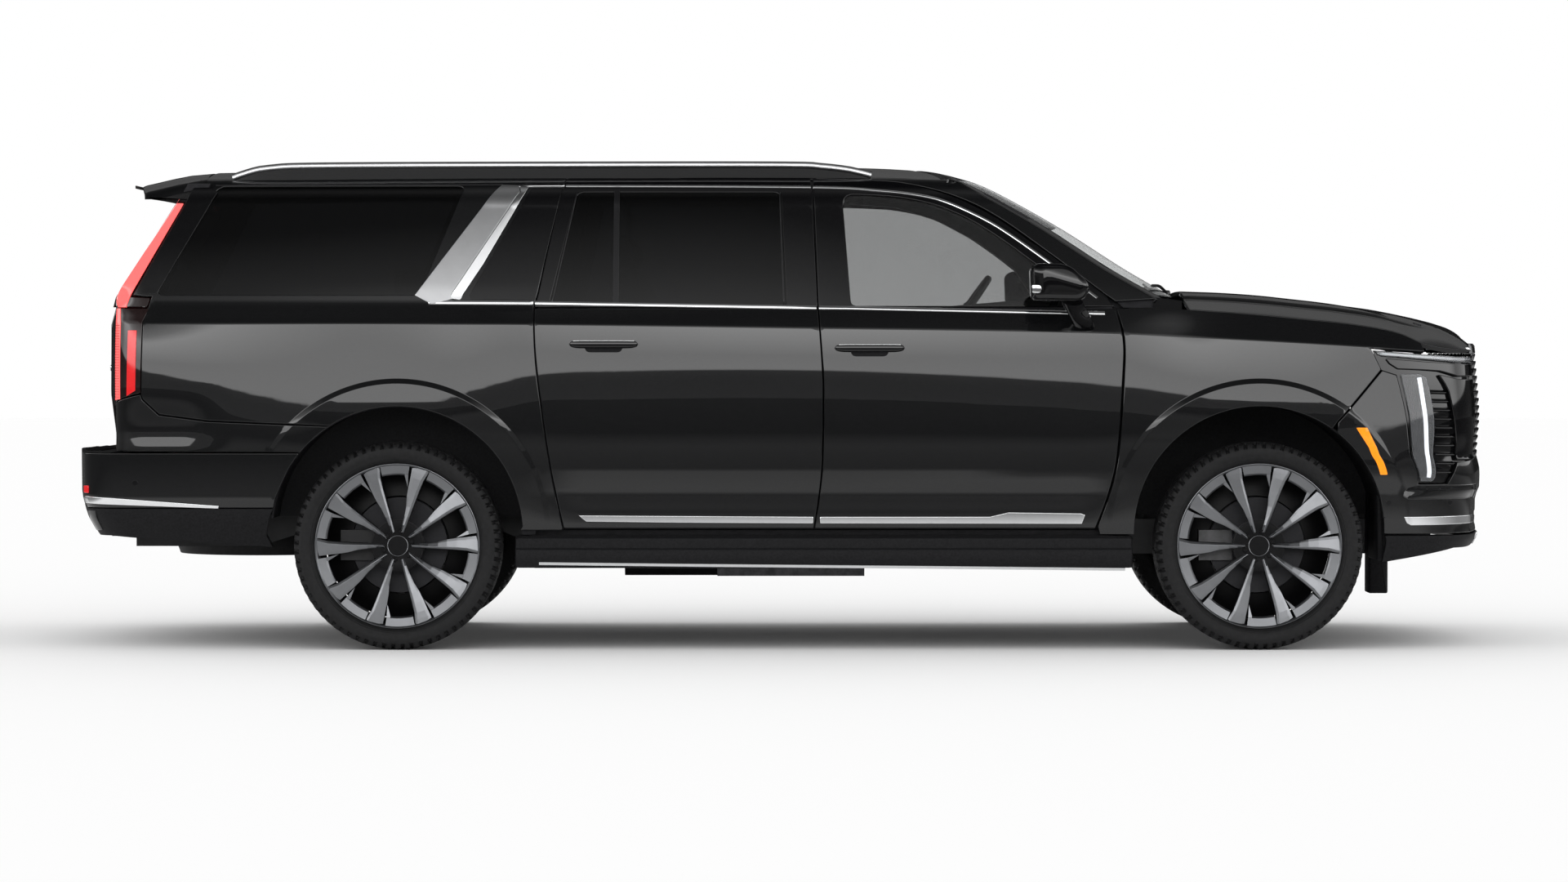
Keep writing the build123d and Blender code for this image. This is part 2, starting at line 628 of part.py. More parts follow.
def frame_rails():
    """Ladder frame: two box rails kicked up over the rear axle, crossmembers, receiver, radiator support."""
    low, high = RAIL_Z, RAIL_Z + RAIL_HEIGHT
    kick = 95
    outline = [(2640, low), (2640, high), (1300, high), (-900, high), (-1180, high + kick), (-1830, high + kick),
               (-2100, high), (-2600, high), (-2600, low + 30), (-2100, low + 30), (-1830, low + kick + 20),
               (-1180, low + kick + 20), (-900, low), (1300, low)]
    with BuildPart() as rail:
        add(side_block(outline, RAIL_Y - RAIL_WIDTH / 2, RAIL_Y + RAIL_WIDTH / 2))
        for x, base, top in [(1230, high, FLOOR_Z), (300, high, FLOOR_Z), (-700, high, FLOOR_Z),
                             (-1500, high + kick, CARGO_FLOOR_Z), (-2300, high, CARGO_FLOOR_Z)]:
            with Locations((x, -RAIL_Y, (base + top) / 2)):
                Cylinder(30, top - base)
    beams = [crossmember(x, z) for x, z in [(2560, 430), (1150, 400), (100, 400), (-820, 400), (-1250, 545)]]
    return join(both_sides(rail.part), *beams, hitch_receiver(-2665, 445), radiator_support(2585, high))


def load_panel():
    """The flat lid over the storage well, behind the third row."""
    x_low, x_high, half = -2560, -1610, 620
    with BuildPart() as lid:
        with Locations(((x_low + x_high) / 2, 0, CARGO_FLOOR_Z + FLOOR_WALL)):
            Box(x_high - x_low, 2 * half, LOAD_PANEL, align=(Align.CENTER, Align.CENTER, Align.MIN))
        fillet(lid.edges().filter_by(Axis.Z), 40)
        chamfer(lid.faces().sort_by(Axis.Z)[-1].edges(), 4)
    return lid.part


def floor_pan():
    """Cabin floor, raised cargo floor and firewall with the cowl in front of the windshield."""
    half = SILL_INNER_Y
    cargo_x = -980
    with BuildPart() as floor:
        add(box_between((cargo_x, -half, FLOOR_Z), (FIREWALL_X + 40, half, FLOOR_Z + FLOOR_WALL)))
        add(box_between((FIREWALL_X, -half, FLOOR_Z), (FIREWALL_X + 40, half, 1330)))
        add(box_between((cargo_x, -half, FLOOR_Z), (cargo_x + 40, half, CARGO_FLOOR_Z + FLOOR_WALL)))
        add(box_between((-2590, -690, CARGO_FLOOR_Z), (cargo_x + 40, 690, CARGO_FLOOR_Z + FLOOR_WALL)))
        add(box_between((-2590, -half, CARGO_FLOOR_Z), (-2030, half, CARGO_FLOOR_Z + FLOOR_WALL)))
        add(load_panel())
        add(box_between((FIREWALL_X, -half, 1290), (HOOD_REAR_X - PANEL_GAP - 6, half, 1330)))
    return floor.part


def engine_block():
    with BuildPart() as engine:
        add(box_between((1480, -300, 560), (2180, 300, 1180)))
        add(box_between((1380, -180, 425), (1500, 180, 1000)))
        add(box_between((1700, -430, RAIL_Z + RAIL_HEIGHT), (1760, 430, 575)))
    return engine.part


def fuel_tank():
    with BuildPart() as tank:
        add(box_between((-640, 60, 245), (60, 345, FLOOR_Z - SEAT_GAP)))
        fillet(tank.edges().filter_by(Axis.X), 40)
    return tank.part


def exhaust():
    """Muffler and its pipe, along the right-hand side under the floor."""
    with BuildPart() as system:
        with BuildLine() as route:
            Line((1300, -250, 325), (-1000, -250, 325))
        with BuildSketch(Plane(origin=route.line @ 0, z_dir=route.line % 0)):
            Circle(35)
        sweep()
        add(box_between((-250, -340, 262), (350, -110, 365 - SEAT_GAP)))
    return system.part



# Wheels and suspension ----------------------------------------------------------------------

def turned(profile, x, y, z):
    """A body turned about an axle: profile points are (radius, distance outwards along the axle)."""
    with BuildPart() as body:
        with BuildSketch(Plane.XY):
            with BuildLine():
                Polyline(*profile, close=True)
            make_face()
        revolve(axis=Axis.Y)
    return body.part.mirror(Plane.XZ).moved(Location((x, y, z)))


def tyre(axle_x):
    """The right-hand tyre: tread, rounded shoulders, sidewalls and beads."""
    half = TYRE_WIDTH / 2
    bead = 112
    lip, bead = RIM_R + 1, bead - SEAT_GAP
    profile = [(RIM_R - 14, -bead), (lip, -bead), (352, -half), (388, -half), (TYRE_R, -half + 34),
               (TYRE_R, half - 34), (388, half), (352, half), (lip, bead), (RIM_R - 14, bead)]
    return turned(profile, axle_x, -WHEEL_Y, WHEEL_Z)


def spoke():
    """One spoke, widening from the hub to the barrel, with its face sloped down to both edges."""
    hub_face, rim_face, depth = 88, 108, 26
    inner_r, outer_r = HUB_R - 12, BEAD_R - 4
    with BuildPart() as arm:
        for radius, half_width, face in [(inner_r, 15, hub_face), ((inner_r + outer_r) / 2, 21, 104),
                                         (outer_r, 37, rim_face)]:
            with BuildSketch(Plane.XY.offset(radius)):
                with BuildLine():
                    Polyline((-half_width, -face + depth), (half_width, -face + depth), (half_width, -face + 9),
                             (4, -face), (-half_width, -face + 5), close=True)
                make_face()
        loft(ruled=True)
    return arm.part


def rim(axle_x):
    """The right-hand wheel: barrel, flanges, hub, spokes and the brake disc bolted behind them."""
    bead_out = 112
    barrel = [(RIM_R, -bead_out - 8), (RIM_R, -bead_out), (RIM_R - 14.3, -bead_out), (RIM_R - 14.3, bead_out),
              (RIM_R, bead_out), (RIM_R, bead_out + 8), (RIM_R - 22, bead_out + 2), (RIM_R - 30, 40),
              (RIM_R - 30, -bead_out)]
    hub_back = HUB_FACE_Y - WHEEL_Y
    bore = SPINDLE_R + RUNNING_CLEARANCE
    hub = [(bore, hub_back), (HUB_R, hub_back), (HUB_R, 82), (44, 88), (44, 80), (bore, 80)]
    disc_out = hub_back
    hat = [(bore, disc_out), (78, disc_out), (78, disc_out - 40), (DISC_R, disc_out - 40),
           (DISC_R, disc_out - 40 - DISC_WALL), (70, disc_out - 40 - DISC_WALL), (70, disc_out - 8),
           (bore, disc_out - 8)]
    arm = spoke()
    with BuildPart() as wheel:
        add(turned(barrel, 0, 0, 0))
        add(turned(hub, 0, 0, 0))
        add(turned(hat, 0, 0, 0))
        for index in range(SPOKES):
            add(arm.rotate(Axis.Y, index * 360 / SPOKES))
    return wheel.part.moved(Location((axle_x, -WHEEL_Y, WHEEL_Z)))


def upright(axle_x, steered):
    """The right-hand knuckle: hub carrier, spindle, brake caliper and, where it steers, ball pins."""
    y = -KINGPIN_Y
    disc_in = HUB_FACE_Y - 40 - DISC_WALL - BRAKE_GAP
    with BuildPart() as knuckle:
        add(box_between((axle_x - 45, -(KINGPIN_Y + 22), 315), (axle_x + 45, -(KINGPIN_Y - 22), 545)))
        add(cylinder_y(axle_x, WHEEL_Z, 62, KINGPIN_Y, disc_in))
        add(cylinder_y(axle_x, WHEEL_Z, SPINDLE_R, KINGPIN_Y, WHEEL_Y + 78))
        add(box_between((axle_x - 205, -disc_in, 350), (axle_x - 90, -(KINGPIN_Y + 10), 470)))
        add(box_between((axle_x - 110, -(KINGPIN_Y + 22), 380), (axle_x - 40, -(KINGPIN_Y - 10), 440)))
        add(box_between((axle_x - 232, -(HUB_FACE_Y - 14), 350),
                        (axle_x - DISC_R - BRAKE_GAP, -(KINGPIN_Y + 20), 470)))
        add(box_between((axle_x - 232, -(HUB_FACE_Y - 14), 350),
                        (axle_x - 100, -(HUB_FACE_Y - 40 + BRAKE_GAP), 470)))
        if steered:
            with Locations((axle_x, y, 430)):
                Cylinder(KINGPIN_R, 330)
    return knuckle.part


def wishbones(axle_x, steered):
    """Upper and lower arms of the right-hand side, with the eyes that carry the ball pins."""
    inner = RAIL_Y + RAIL_WIDTH / 2
    with BuildPart() as arms:
        for z, spread, wall in [(285, 170, 28), (560, 110, 22)]:
            with BuildSketch(Plane.XY.offset(z)) as plan:
                with BuildLine():
                    Polyline((axle_x - spread, -inner), (axle_x + spread, -inner), (axle_x + 30, -KINGPIN_Y),
                             (axle_x - 30, -KINGPIN_Y), close=True)
                make_face()
                with Locations((axle_x, -KINGPIN_Y)):
                    Circle(30)
                with BuildLine():
                    Polyline((axle_x - spread + 70, -inner - 45), (axle_x + spread - 70, -inner - 45),
                             (axle_x, -inner - 190), close=True)
                make_face(mode=Mode.SUBTRACT)
                if steered:
                    with Locations((axle_x, -KINGPIN_Y)):
                        Circle(KINGPIN_R + RUNNING_CLEARANCE, mode=Mode.SUBTRACT)
            extrude(amount=wall)
    return arms.part


def front_suspension():
    arms = wishbones(FRONT_AXLE_X, True)
    low = RAIL_Z
    face = RAIL_Y + RAIL_WIDTH / 2
    lugs = join(box_between((FRONT_AXLE_X - 180, -face, 285), (FRONT_AXLE_X + 180, 60 - face, low)),
                box_between((FRONT_AXLE_X - 120, -face, low + RAIL_HEIGHT), (FRONT_AXLE_X + 120, 50 - face, 582)))
    return both_sides(join(arms, lugs))


def rear_suspension():
    """Arms, hub carriers, half-shafts and differential of the rear axle."""
    arms = wishbones(REAR_AXLE_X, False)
    carrier = upright(REAR_AXLE_X, False)
    face = RAIL_Y + RAIL_WIDTH / 2
    lug = box_between((REAR_AXLE_X - 180, -face, 285), (REAR_AXLE_X + 180, 60 - face, RAIL_Z + 115))
    lug = cut(lug, cylinder_y(REAR_AXLE_X, WHEEL_Z, 40, 300, 600))
    side = join(arms, carrier, lug, box_between((REAR_AXLE_X - 30, -KINGPIN_Y - 20, 540),
                                                 (REAR_AXLE_X + 30, -KINGPIN_Y + 20, 562)),
                box_between((REAR_AXLE_X - 30, -KINGPIN_Y - 20, 285), (REAR_AXLE_X + 30, -KINGPIN_Y + 20, 320)),
                cylinder_y(REAR_AXLE_X, WHEEL_Z, 22, 100, KINGPIN_Y))
    with BuildPart() as axle:
        add(side)
        add(side.mirror(Plane.XZ))
        add(cylinder_y(REAR_AXLE_X, WHEEL_Z, 110, -130, 130))
        with Locations(Location((REAR_AXLE_X + 150, 0, WHEEL_Z), (0, 90, 0))):
            Cylinder(60, 300)
    return axle.part


def spare_wheel():
    """The spare, slung level under the cargo floor."""
    profile = [(150, -70), (210, -95), (367, -105), (380, -70), (380, 70), (367, 105), (210, 95), (150, 70)]
    height = 452
    with BuildPart() as spare:
        with BuildSketch(Plane.XZ):
            with BuildLine():
                Polyline(*profile, close=True)
            make_face()
        revolve(axis=Axis.Z)
        Cylinder(150, 60)
        with Locations((0, 0, 0)):
            Cylinder(12, CARGO_FLOOR_Z - SEAT_GAP - height, align=(Align.CENTER, Align.CENTER, Align.MIN))
    return spare.part.moved(Location((-2110, 0, height)))


def wheel_liner(axle_x, inner):
    """The right-hand arch liner: a half tube with a wall at its inboard end, open for the upper arm."""
    outer = 974
    tube = cut(cylinder_y(axle_x, ARCH_Z, ARCH_R + LINER_WALL + 2, inner, outer),
               cylinder_y(axle_x, ARCH_Z, ARCH_R + 2, inner + LINER_WALL, outer + 10))
    zone = side_block([(axle_x - 600, 520), (axle_x + 600, 520), (axle_x + 600, 1100), (axle_x - 600, 1100)],
                      500, 1000)
    arm_way = box_between((axle_x - 145, -inner - 40, 400), (axle_x + 145, -inner + 10, 625))
    return cut(meet(tube, zone), arm_way)


# Outside fittings ---------------------------------------------------------------------------

def running_board():
    """The right-hand board: a long step under the doors with a stepped face."""
    profile = [(860, 452), (985, 452), (1000, 440), (1000, 398), (1012, 392), (1012, 352), (1004, 322), (860, 322)]
    with BuildPart() as board:
        with BuildSketch(Plane(origin=(-1040, 0, 0), x_dir=(0, 1, 0), z_dir=(1, 0, 0))):
            with BuildLine():
                Polyline(*[(-y, z) for y, z in profile], close=True)
            make_face()
        extrude(amount=1400 + 1040)
    return board.part


def roof_rail():
    """The right-hand rail: a bar that rises from both ends and stands along the roof."""
    y = -640
    outline_top = [(-2195, 1878), (-2080, 1916), (-1900, 1931), (-766, 1941), (22, 1941), (200, 1934), (372, 1902)]
    outline_low = [(372, 1850), (-2195, 1850)]
    with BuildPart() as rail:
        with BuildSketch(Plane.XZ.offset(-y - 17)):
            with BuildLine():
                Spline(*outline_top)
                Line(outline_top[-1], outline_low[0])
                Line(*outline_low)
                Line(outline_low[-1], outline_top[0])
            make_face()
        extrude(amount=34)
    return cut(rail.part, greenhouse(-SEAT_GAP))


def mirror_housing():
    """The right-hand mirror: a rounded head on an arm from the door."""
    with BuildPart() as mirror:
        with BuildSketch(Plane.XZ.offset(1050)) as face:
            with BuildLine():
                Polyline((990, 1390), (985, 1510), (1010, 1524), (1140, 1522), (1228, 1432), (1190, 1372), close=True)
            make_face()
            fillet(face.vertices(), 14)
        extrude(amount=180)
        chamfer(mirror.faces().sort_by(Axis.Y)[0].edges(), 14)
        add(side_block([(1060, 1400), (1205, 1400), (1240, 1290), (1180, 1270)], 960, 1090))
    return cut(mirror.part, TUB, HOUSE)


STEERING_SEAT = Location((780, 400, 1335), (0, -55, 0))
COLUMN_LENGTH = 330


def steering_wheel():
    with BuildPart() as wheel:
        with BuildSketch(Plane.XZ):
            with Locations((180, 0)):
                Circle(15)
        revolve(axis=Axis.Z)
        Cylinder(70, 50)
        for angle in (0, 180, 270):
            with Locations(Location((0, 0, 0), (0, 0, angle))):
                with Locations((110, 0, 0)):
                    Box(150, 34, 14)
    return wheel.part.moved(STEERING_SEAT)


# Cabin --------------------------------------------------------------------------------------

def seat(x, y, width):
    """One seat: cushion, leaning back and head restraint on a pedestal."""
    side = [(x - 60, FLOOR_Z + FLOOR_WALL), (x + 400, FLOOR_Z + FLOOR_WALL), (x + 430, 880), (x + 420, 960),
            (x + 90, 930), (x - 60, 1480), (x - 90, 1500), (x - 80, 1640), (x - 200, 1650), (x - 215, 1500),
            (x - 210, 1480), (x - 110, 880)]
    block = side_block(side, y - width / 2, y + width / 2)
    return block


def seats():
    """Two front chairs, two second-row chairs and the third-row bench."""
    chairs = [seat(x, side * SEAT_Y, SEAT_WIDTH) for x in (FRONT_SEAT_X, SECOND_SEAT_X) for side in (1, -1)]
    bench_x = BENCH_X
    bench = [(bench_x - 60, CARGO_FLOOR_Z + FLOOR_WALL), (bench_x + 400, CARGO_FLOOR_Z + FLOOR_WALL),
             (bench_x + 420, 990), (bench_x + 90, 970), (bench_x - 40, 1520), (bench_x - 160, 1520),
             (bench_x - 100, 900)]
    return join(*chairs, side_block(bench, -600, 600))


def dashboard():
    """Dashboard across the car with the console and the steering column's shroud."""
    profile = [(FIREWALL_X, 860), (FIREWALL_X, 1328), (1180, 1300), (1060, 1240), (1020, 1120), (1090, 980),
               (1160, 860)]
    dash = side_block(profile, -820, 820)
    console = box_between((380, -120, FLOOR_Z + FLOOR_WALL), (1180, 120, 900))
    with BuildPart() as column:
        with Locations((0, 0, -25 - SEAT_GAP)):
            Cylinder(32, COLUMN_LENGTH, align=(Align.CENTER, Align.CENTER, Align.MAX))
    return join(dash, console, column.part.moved(STEERING_SEAT))


# The files, one per node --------------------------------------------------------------------

def main():
    os.makedirs("parts", exist_ok=True)
    whole = {
        "body_sides": both_sides(body_side()),
        "roof_panel": roof_panel(),
        "fixed_glass": fixed_glass(),
        "hood": hood_panel(),
        "front_fenders": both_sides(front_fender()),
        "front_bumper": front_bumper(),
        "grille": radiator_grille(),
        "headlamps": both_sides(headlamp()),
        "tail_lamps": both_sides(tail_lamp()),
        "liftgate": liftgate(),
        "liftgate_glass": liftgate_glass(),
        "rear_bumper": rear_bumper(),
        "frame_rails": frame_rails(),
        "floor_pan": floor_pan(),
        "engine_block": engine_block(),
        "fuel_tank": fuel_tank(),
        "exhaust": exhaust(),
        "front_suspension": front_suspension(),
        "rear_suspension": rear_suspension(),
        "spare_wheel": spare_wheel(),
        "seats": seats(),
        "dashboard": dashboard(),
        "steering_wheel": steering_wheel(),
        "running_boards": both_sides(running_board()),
        "roof_rails": both_sides(roof_rail()),
        "wheel_liners": join(both_sides(wheel_liner(FRONT_AXLE_X, 505)),
                             both_sides(wheel_liner(REAR_AXLE_X, 700))),
    }
    right_hand = {
        "door_front": door_front,
        "door_rear": door_rear,
        "door_front_glass": window_pane(FRONT_WINDOW),
        "door_rear_glass": window_pane(REAR_WINDOW),
        "mirror": mirror_housing(),
        "knuckle": upright(FRONT_AXLE_X, steered=True),
        "wheel_front": rim(FRONT_AXLE_X),
        "wheel_rear": rim(REAR_AXLE_X),
        "tyre_front": tyre(FRONT_AXLE_X),
        "tyre_rear": tyre(REAR_AXLE_X),
    }
    for name, piece in whole.items():
        save(piece, name)
    for name, piece in right_hand.items():
        save(piece, name + "_right")
        save(piece.mirror(Plane.XZ), name + "_left")


main()
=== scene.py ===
"""The looks of the full-size SUV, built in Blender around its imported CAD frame.

Everything is in metres in the frame's axes: X forward, Y to the left, Z up. The painted panels are cut from
three smooth surfaces (lower body, glasshouse, windshield) along their shut lines. Pieces of the right-hand
side are made first and mirrored.
"""
from math import asin, atan2, cos, hypot, pi, radians, sin

import bpy
import numpy as np
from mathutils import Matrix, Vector
from mathutils.geometry import delaunay_2d_cdt


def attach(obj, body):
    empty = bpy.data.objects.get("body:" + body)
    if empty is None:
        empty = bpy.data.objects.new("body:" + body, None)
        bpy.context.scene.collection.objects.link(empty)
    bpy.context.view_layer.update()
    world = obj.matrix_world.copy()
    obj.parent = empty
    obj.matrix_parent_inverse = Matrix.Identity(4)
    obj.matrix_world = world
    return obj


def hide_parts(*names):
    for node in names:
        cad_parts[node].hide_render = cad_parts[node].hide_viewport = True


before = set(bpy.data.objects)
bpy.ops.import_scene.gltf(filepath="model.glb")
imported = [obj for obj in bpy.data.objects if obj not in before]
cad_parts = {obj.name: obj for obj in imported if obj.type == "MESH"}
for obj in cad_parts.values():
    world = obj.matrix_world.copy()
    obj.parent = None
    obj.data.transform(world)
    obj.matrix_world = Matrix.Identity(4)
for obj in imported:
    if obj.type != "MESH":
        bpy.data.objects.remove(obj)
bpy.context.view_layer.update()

TUB_REAR, PLAN_NOSE = -2.662, 2.87
SILL, BELT, CANTRAIL, DOOR_TOP = 0.478, 1.352, 1.85, 1.868
AXLES = {"front": 1.901, "rear": -1.506}
ARCH_R, ARCH_Z, FLARE_R = 0.492, 0.468, 0.584
FLARE_STEP, FLARE_OUT, FLARE_TURN = 0.02, 0.009, 0.0016
FLARE_LINES = [FLARE_R + r + s * FLARE_TURN for r in (0, FLARE_STEP) for s in (-1, 1)]
GAP = 0.0025


# Numbers to curves --------------------------------------------------------------------------------

def curve(x, points):
    """A smooth curve through a few points, with slopes taken from their neighbours."""
    p = np.array(points, float)
    d = np.diff(p[:, 1]) / np.diff(p[:, 0])
    slopes = np.concatenate([[d[0]], (d[:-1] + d[1:]) / 2, [d[-1]]])
    return hermite(x, np.column_stack([p, slopes, slopes]))


def hermite(x, knots):
    """Cubic pieces through knots of place, value, slope before and slope after."""
    k = np.array(knots, float)
    x = np.clip(np.asarray(x, float), k[0, 0], k[-1, 0])
    i = np.clip(np.searchsorted(k[:, 0], x, side="right") - 1, 0, len(k) - 2)
    h = k[i + 1, 0] - k[i, 0]
    s = (x - k[i, 0]) / h
    return ((2 * s**3 - 3 * s**2 + 1) * k[i, 1] + (s**3 - 2 * s**2 + s) * k[i, 3] * h
            + (3 * s**2 - 2 * s**3) * k[i + 1, 1] + (s**3 - s**2) * k[i + 1, 2] * h)


def ease(x, low, high):
    """A smooth step from nought at low to one at high."""
    s = np.clip((np.asarray(x, float) - low) / (high - low), 0, 1)
    return s * s * (3 - 2 * s)


def spline(points, step=0.012, closed=False):
    """A Catmull-Rom curve through points, sampled at about one step."""
    p = np.array(points, float)
    n = len(p)
    out = []
    for i in range(n if closed else n - 1):
        a, b = p[i], p[(i + 1) % n]
        before = p[i - 1] if closed or i else a
        after = p[(i + 2) % n] if closed or i + 2 < n else b
        count = max(1, int(np.linalg.norm(b - a) / step))
        for t in np.arange(count) / count:
            out.append(0.5 * (2 * a + (b - before) * t + (2 * before - 5 * a + 4 * b - after) * t * t
                              + (3 * a - before - 3 * b + after) * t**3))
    if not closed:
        out.append(p[-1])
    return [tuple(q) for q in out]


def straight(points, step=0.012, closed=True):
    """The same outline with points added along its straight runs."""
    p = [np.array(q, float) for q in points]
    out = []
    for a, b in zip(p, p[1:] + (p[:1] if closed else [])):
        count = max(1, int(np.linalg.norm(b - a) / step))
        out += [tuple(a + (b - a) * t) for t in np.arange(count) / count]
    return out if closed else out + [tuple(p[-1])]


def rounded(points, radius):
    """A closed outline with its corners rounded by quadratic arcs."""
    p = [np.array(q, float) for q in points]
    out = []
    for i, corner in enumerate(p):
        r = radius[i] if hasattr(radius, "__len__") else radius
        before, after = p[i - 1] - corner, p[(i + 1) % len(p)] - corner
        cut = min(r, 0.45 * np.linalg.norm(before), 0.45 * np.linalg.norm(after))
        if cut < 1e-6:
            out.append(tuple(corner))
            continue
        a = corner + before / np.linalg.norm(before) * cut
        b = corner + after / np.linalg.norm(after) * cut
        for t in (0, 0.2, 0.4, 0.6, 0.8, 1):
            out.append(tuple((1 - t)**2 * a + 2 * t * (1 - t) * corner + t * t * b))
    return out


# The car's three surfaces -------------------------------------------------------------------------

PLAIN = [(0.25, 0.945, 0.17, 0.17), (0.478, 0.984, 0.15, 0.15), (0.63, 1.001, 0.075, 0.075), (1.01, 1.018, 0, 0)]
SCULPTED = [(0.25, 0.95, 0.16, 0.16), (0.44, 0.975, 0.12, 0.12), (0.5, 0.9855, 0.1, 0.1),
            (0.555, 0.9895, 0.03, 0.03), (0.612, 0.991, 0.03, 0.03), (0.635, 0.9945, 0.17, 0.17),
            (0.712, 1.0075, 0.165, 0.075), (0.86, 1.0157, 0.035, 0.035), (1.01, 1.018, 0, 0)]
LOW_TOP, LOW_SPAN = 0.63, 0.38
WIDEST, CREASE_Y, BELT_Y = 1.018, 0.998, 0.953
ROUND_IN, TURN_SLOPE, WHEEL_PINCH = 0.1, 0.056, 0.01
SHOULDER_SLOPES, FENDER_FALL = (-0.0402, -0.0496), 0.64


def crease_z(x):
    """Height of the shoulder crease along the car."""
    return curve(x, [(-2.9, 1.29), (-2.3, 1.29), (-1.0, 1.287), (0, 1.275), (1.36, 1.249), (2.33, 1.197),
                     (2.9, 1.15)])


def turn_z(x):
    """Height at which the side starts to lean in; it drops over each wheel."""
    return curve(x, [(-2.9, 1.15), (-2.505, 1.105), (-2.2, 1.038), (-1.887, 0.965), (-1.65, 0.925), (-1.4, 0.96),
                     (-1.17, 1.035), (-0.96, 1.09), (-0.6, 1.108), (0.15, 1.112), (0.9, 1.08), (1.343, 1.045),
                     (1.569, 1.015), (1.9, 0.95), (2.084, 0.915), (2.38, 0.84), (2.49, 0.885), (2.9, 1.0)])


def half_width(x, z):
    """Half the body's width at its widest place along the car, by height.

    From below: the plain or sculpted sill and door, a lean inwards up to the crease, and the shoulder, which
    falls more steeply on the front fenders. A shallow shelf runs over the rear bumper.
    """
    crease, turn = crease_z(x), turn_z(x)
    waist = turn - ROUND_IN
    lowered = np.where(z > LOW_TOP, LOW_TOP + (z - LOW_TOP) * LOW_SPAN / (waist - LOW_TOP), z)
    sculpt = ease(x, -1.05, -0.75) * (1 - ease(x, 1.15, 1.42))
    low = hermite(lowered, PLAIN) * (1 - sculpt) + hermite(lowered, SCULPTED) * sculpt
    shelf = 0.0085 * ease(z, 0.775, 0.868) * (1 - ease(x, -2.36, -2.14)) * (1 - ease(z, 0.868, 1.05))
    top = CREASE_Y - WHEEL_PINCH * ((1 - ease(x, -1.35, -0.98)) + ease(x, 1.3, 1.7))
    turned_in = WIDEST - TURN_SLOPE * ROUND_IN / 2
    rise, span = z - turn, crease - turn
    end_slope = 2 * (turned_in - top) / span - TURN_SLOPE
    lean = np.where(z < turn, WIDEST - TURN_SLOPE * (z - waist)**2 / (2 * ROUND_IN),
                    turned_in - TURN_SLOPE * rise - (end_slope - TURN_SLOPE) * rise**2 / (2 * span))
    u = np.clip((z - crease) / (BELT - crease), 0, 1)
    ahead, fall = ease(x, 1.5, 1.85), -FENDER_FALL * (BELT - crease)
    start, stop = (slope + (fall - slope) * ahead for slope in SHOULDER_SLOPES)
    belt = BELT_Y + (top + fall - BELT_Y) * ahead
    shoulder = (top * (2 * u**3 - 3 * u**2 + 1) + start * (u**3 - 2 * u**2 + u) + belt * (3 * u**2 - 2 * u**3)
                + stop * (u**3 - u**2))
    return np.where(z < waist, low, np.where(z < crease, lean, shoulder)) - shelf


def flare(x, z):
    """How far the wheel-arch lips stand out of the body side: fully over the wheel, less down its sides."""
    out = 0
    for axle in AXLES.values():
        r = np.where(z > ARCH_Z, np.hypot(x - axle, z - ARCH_Z), np.abs(x - axle))
        fade = 0.25 + 0.75 * ease(z, 0.84, 0.98)
        out = out + FLARE_OUT * fade * np.clip((FLARE_R + FLARE_STEP - r) / FLARE_STEP, 0, 1)
    return out


def nose_x(z):
    """How far forward the nose reaches on the centre plane, by height."""
    return hermite(z, [(0.25, 2.795, 0.25, 0.25), (0.352, 2.814, 0.3, 0.6), (0.432, 2.862, 0.5, 0.0),
                       (0.49, 2.856, -0.05, 0.0), (0.596, 2.857, 0.0, 0.55), (0.624, 2.873, 0.45, 0.06),
                       (0.69, 2.875, 0.0, 0.0), (0.77, 2.858, -0.2, 0.02), (0.914, 2.868, 0.03, 0.0),
                       (1.168, 2.852, -0.05, -0.05), (1.285, 2.846, -0.1, -0.1), (1.42, 2.8, -0.3, -0.3)])


def plan_samples():
    """The body's outline from above for a half width of one: arc length, distance from the nose, half width."""
    length, radius, tail_radius = PLAN_NOSE - TUB_REAR, 0.3, 0.13
    y = np.linspace(0, 0.975, 2000)
    front = np.column_stack([0.15 * (y / 0.975)**2, y])
    x = np.linspace(0.02, length - 0.02, 9000)
    middle, half = length / 2, length / 2 - 0.105
    side = np.column_stack([x, 1 - 0.025 * ((x - middle) / half)**2])
    best = min(((abs(np.min(np.hypot(front[:, 0] - cx, front[:, 1] - (cy - radius))) - radius), cx, cy - radius)
                for cx, cy in side[200:1600:4]))
    centre = np.array(best[1:])
    near = np.argmin(np.hypot(*(front - centre).T))
    start = atan2(front[near, 1] - centre[1], front[near, 0] - centre[0])
    arc = [(centre[0] + radius * cos(a), centre[1] + radius * sin(a)) for a in np.linspace(start, pi / 2, 400)]
    tail_x = length - 0.03 - tail_radius
    keep = side[(side[:, 0] > centre[0]) & (side[:, 0] < tail_x)]
    tail_y = keep[-1, 1] - tail_radius
    tail = [(tail_x + tail_radius * sin(a), tail_y + tail_radius * cos(a)) for a in np.linspace(0.01, pi / 2, 200)]
    back = [(length - 0.03 + 0.03 * (1 - (v / tail_y)**2), v) for v in np.linspace(tail_y, 0, 800)[1:]]
    line = np.array([tuple(q) for q in front[:near]] + arc + [tuple(q) for q in keep] + tail + back)
    t = np.concatenate([[0], np.cumsum(np.hypot(*np.diff(line, axis=0).T))])
    return t, line[:, 0], line[:, 1]


PLAN_T, PLAN_X, PLAN_Y = plan_samples()
PLAN_LENGTH = PLAN_NOSE - TUB_REAR
REARMOST = int(np.argmax(PLAN_X))


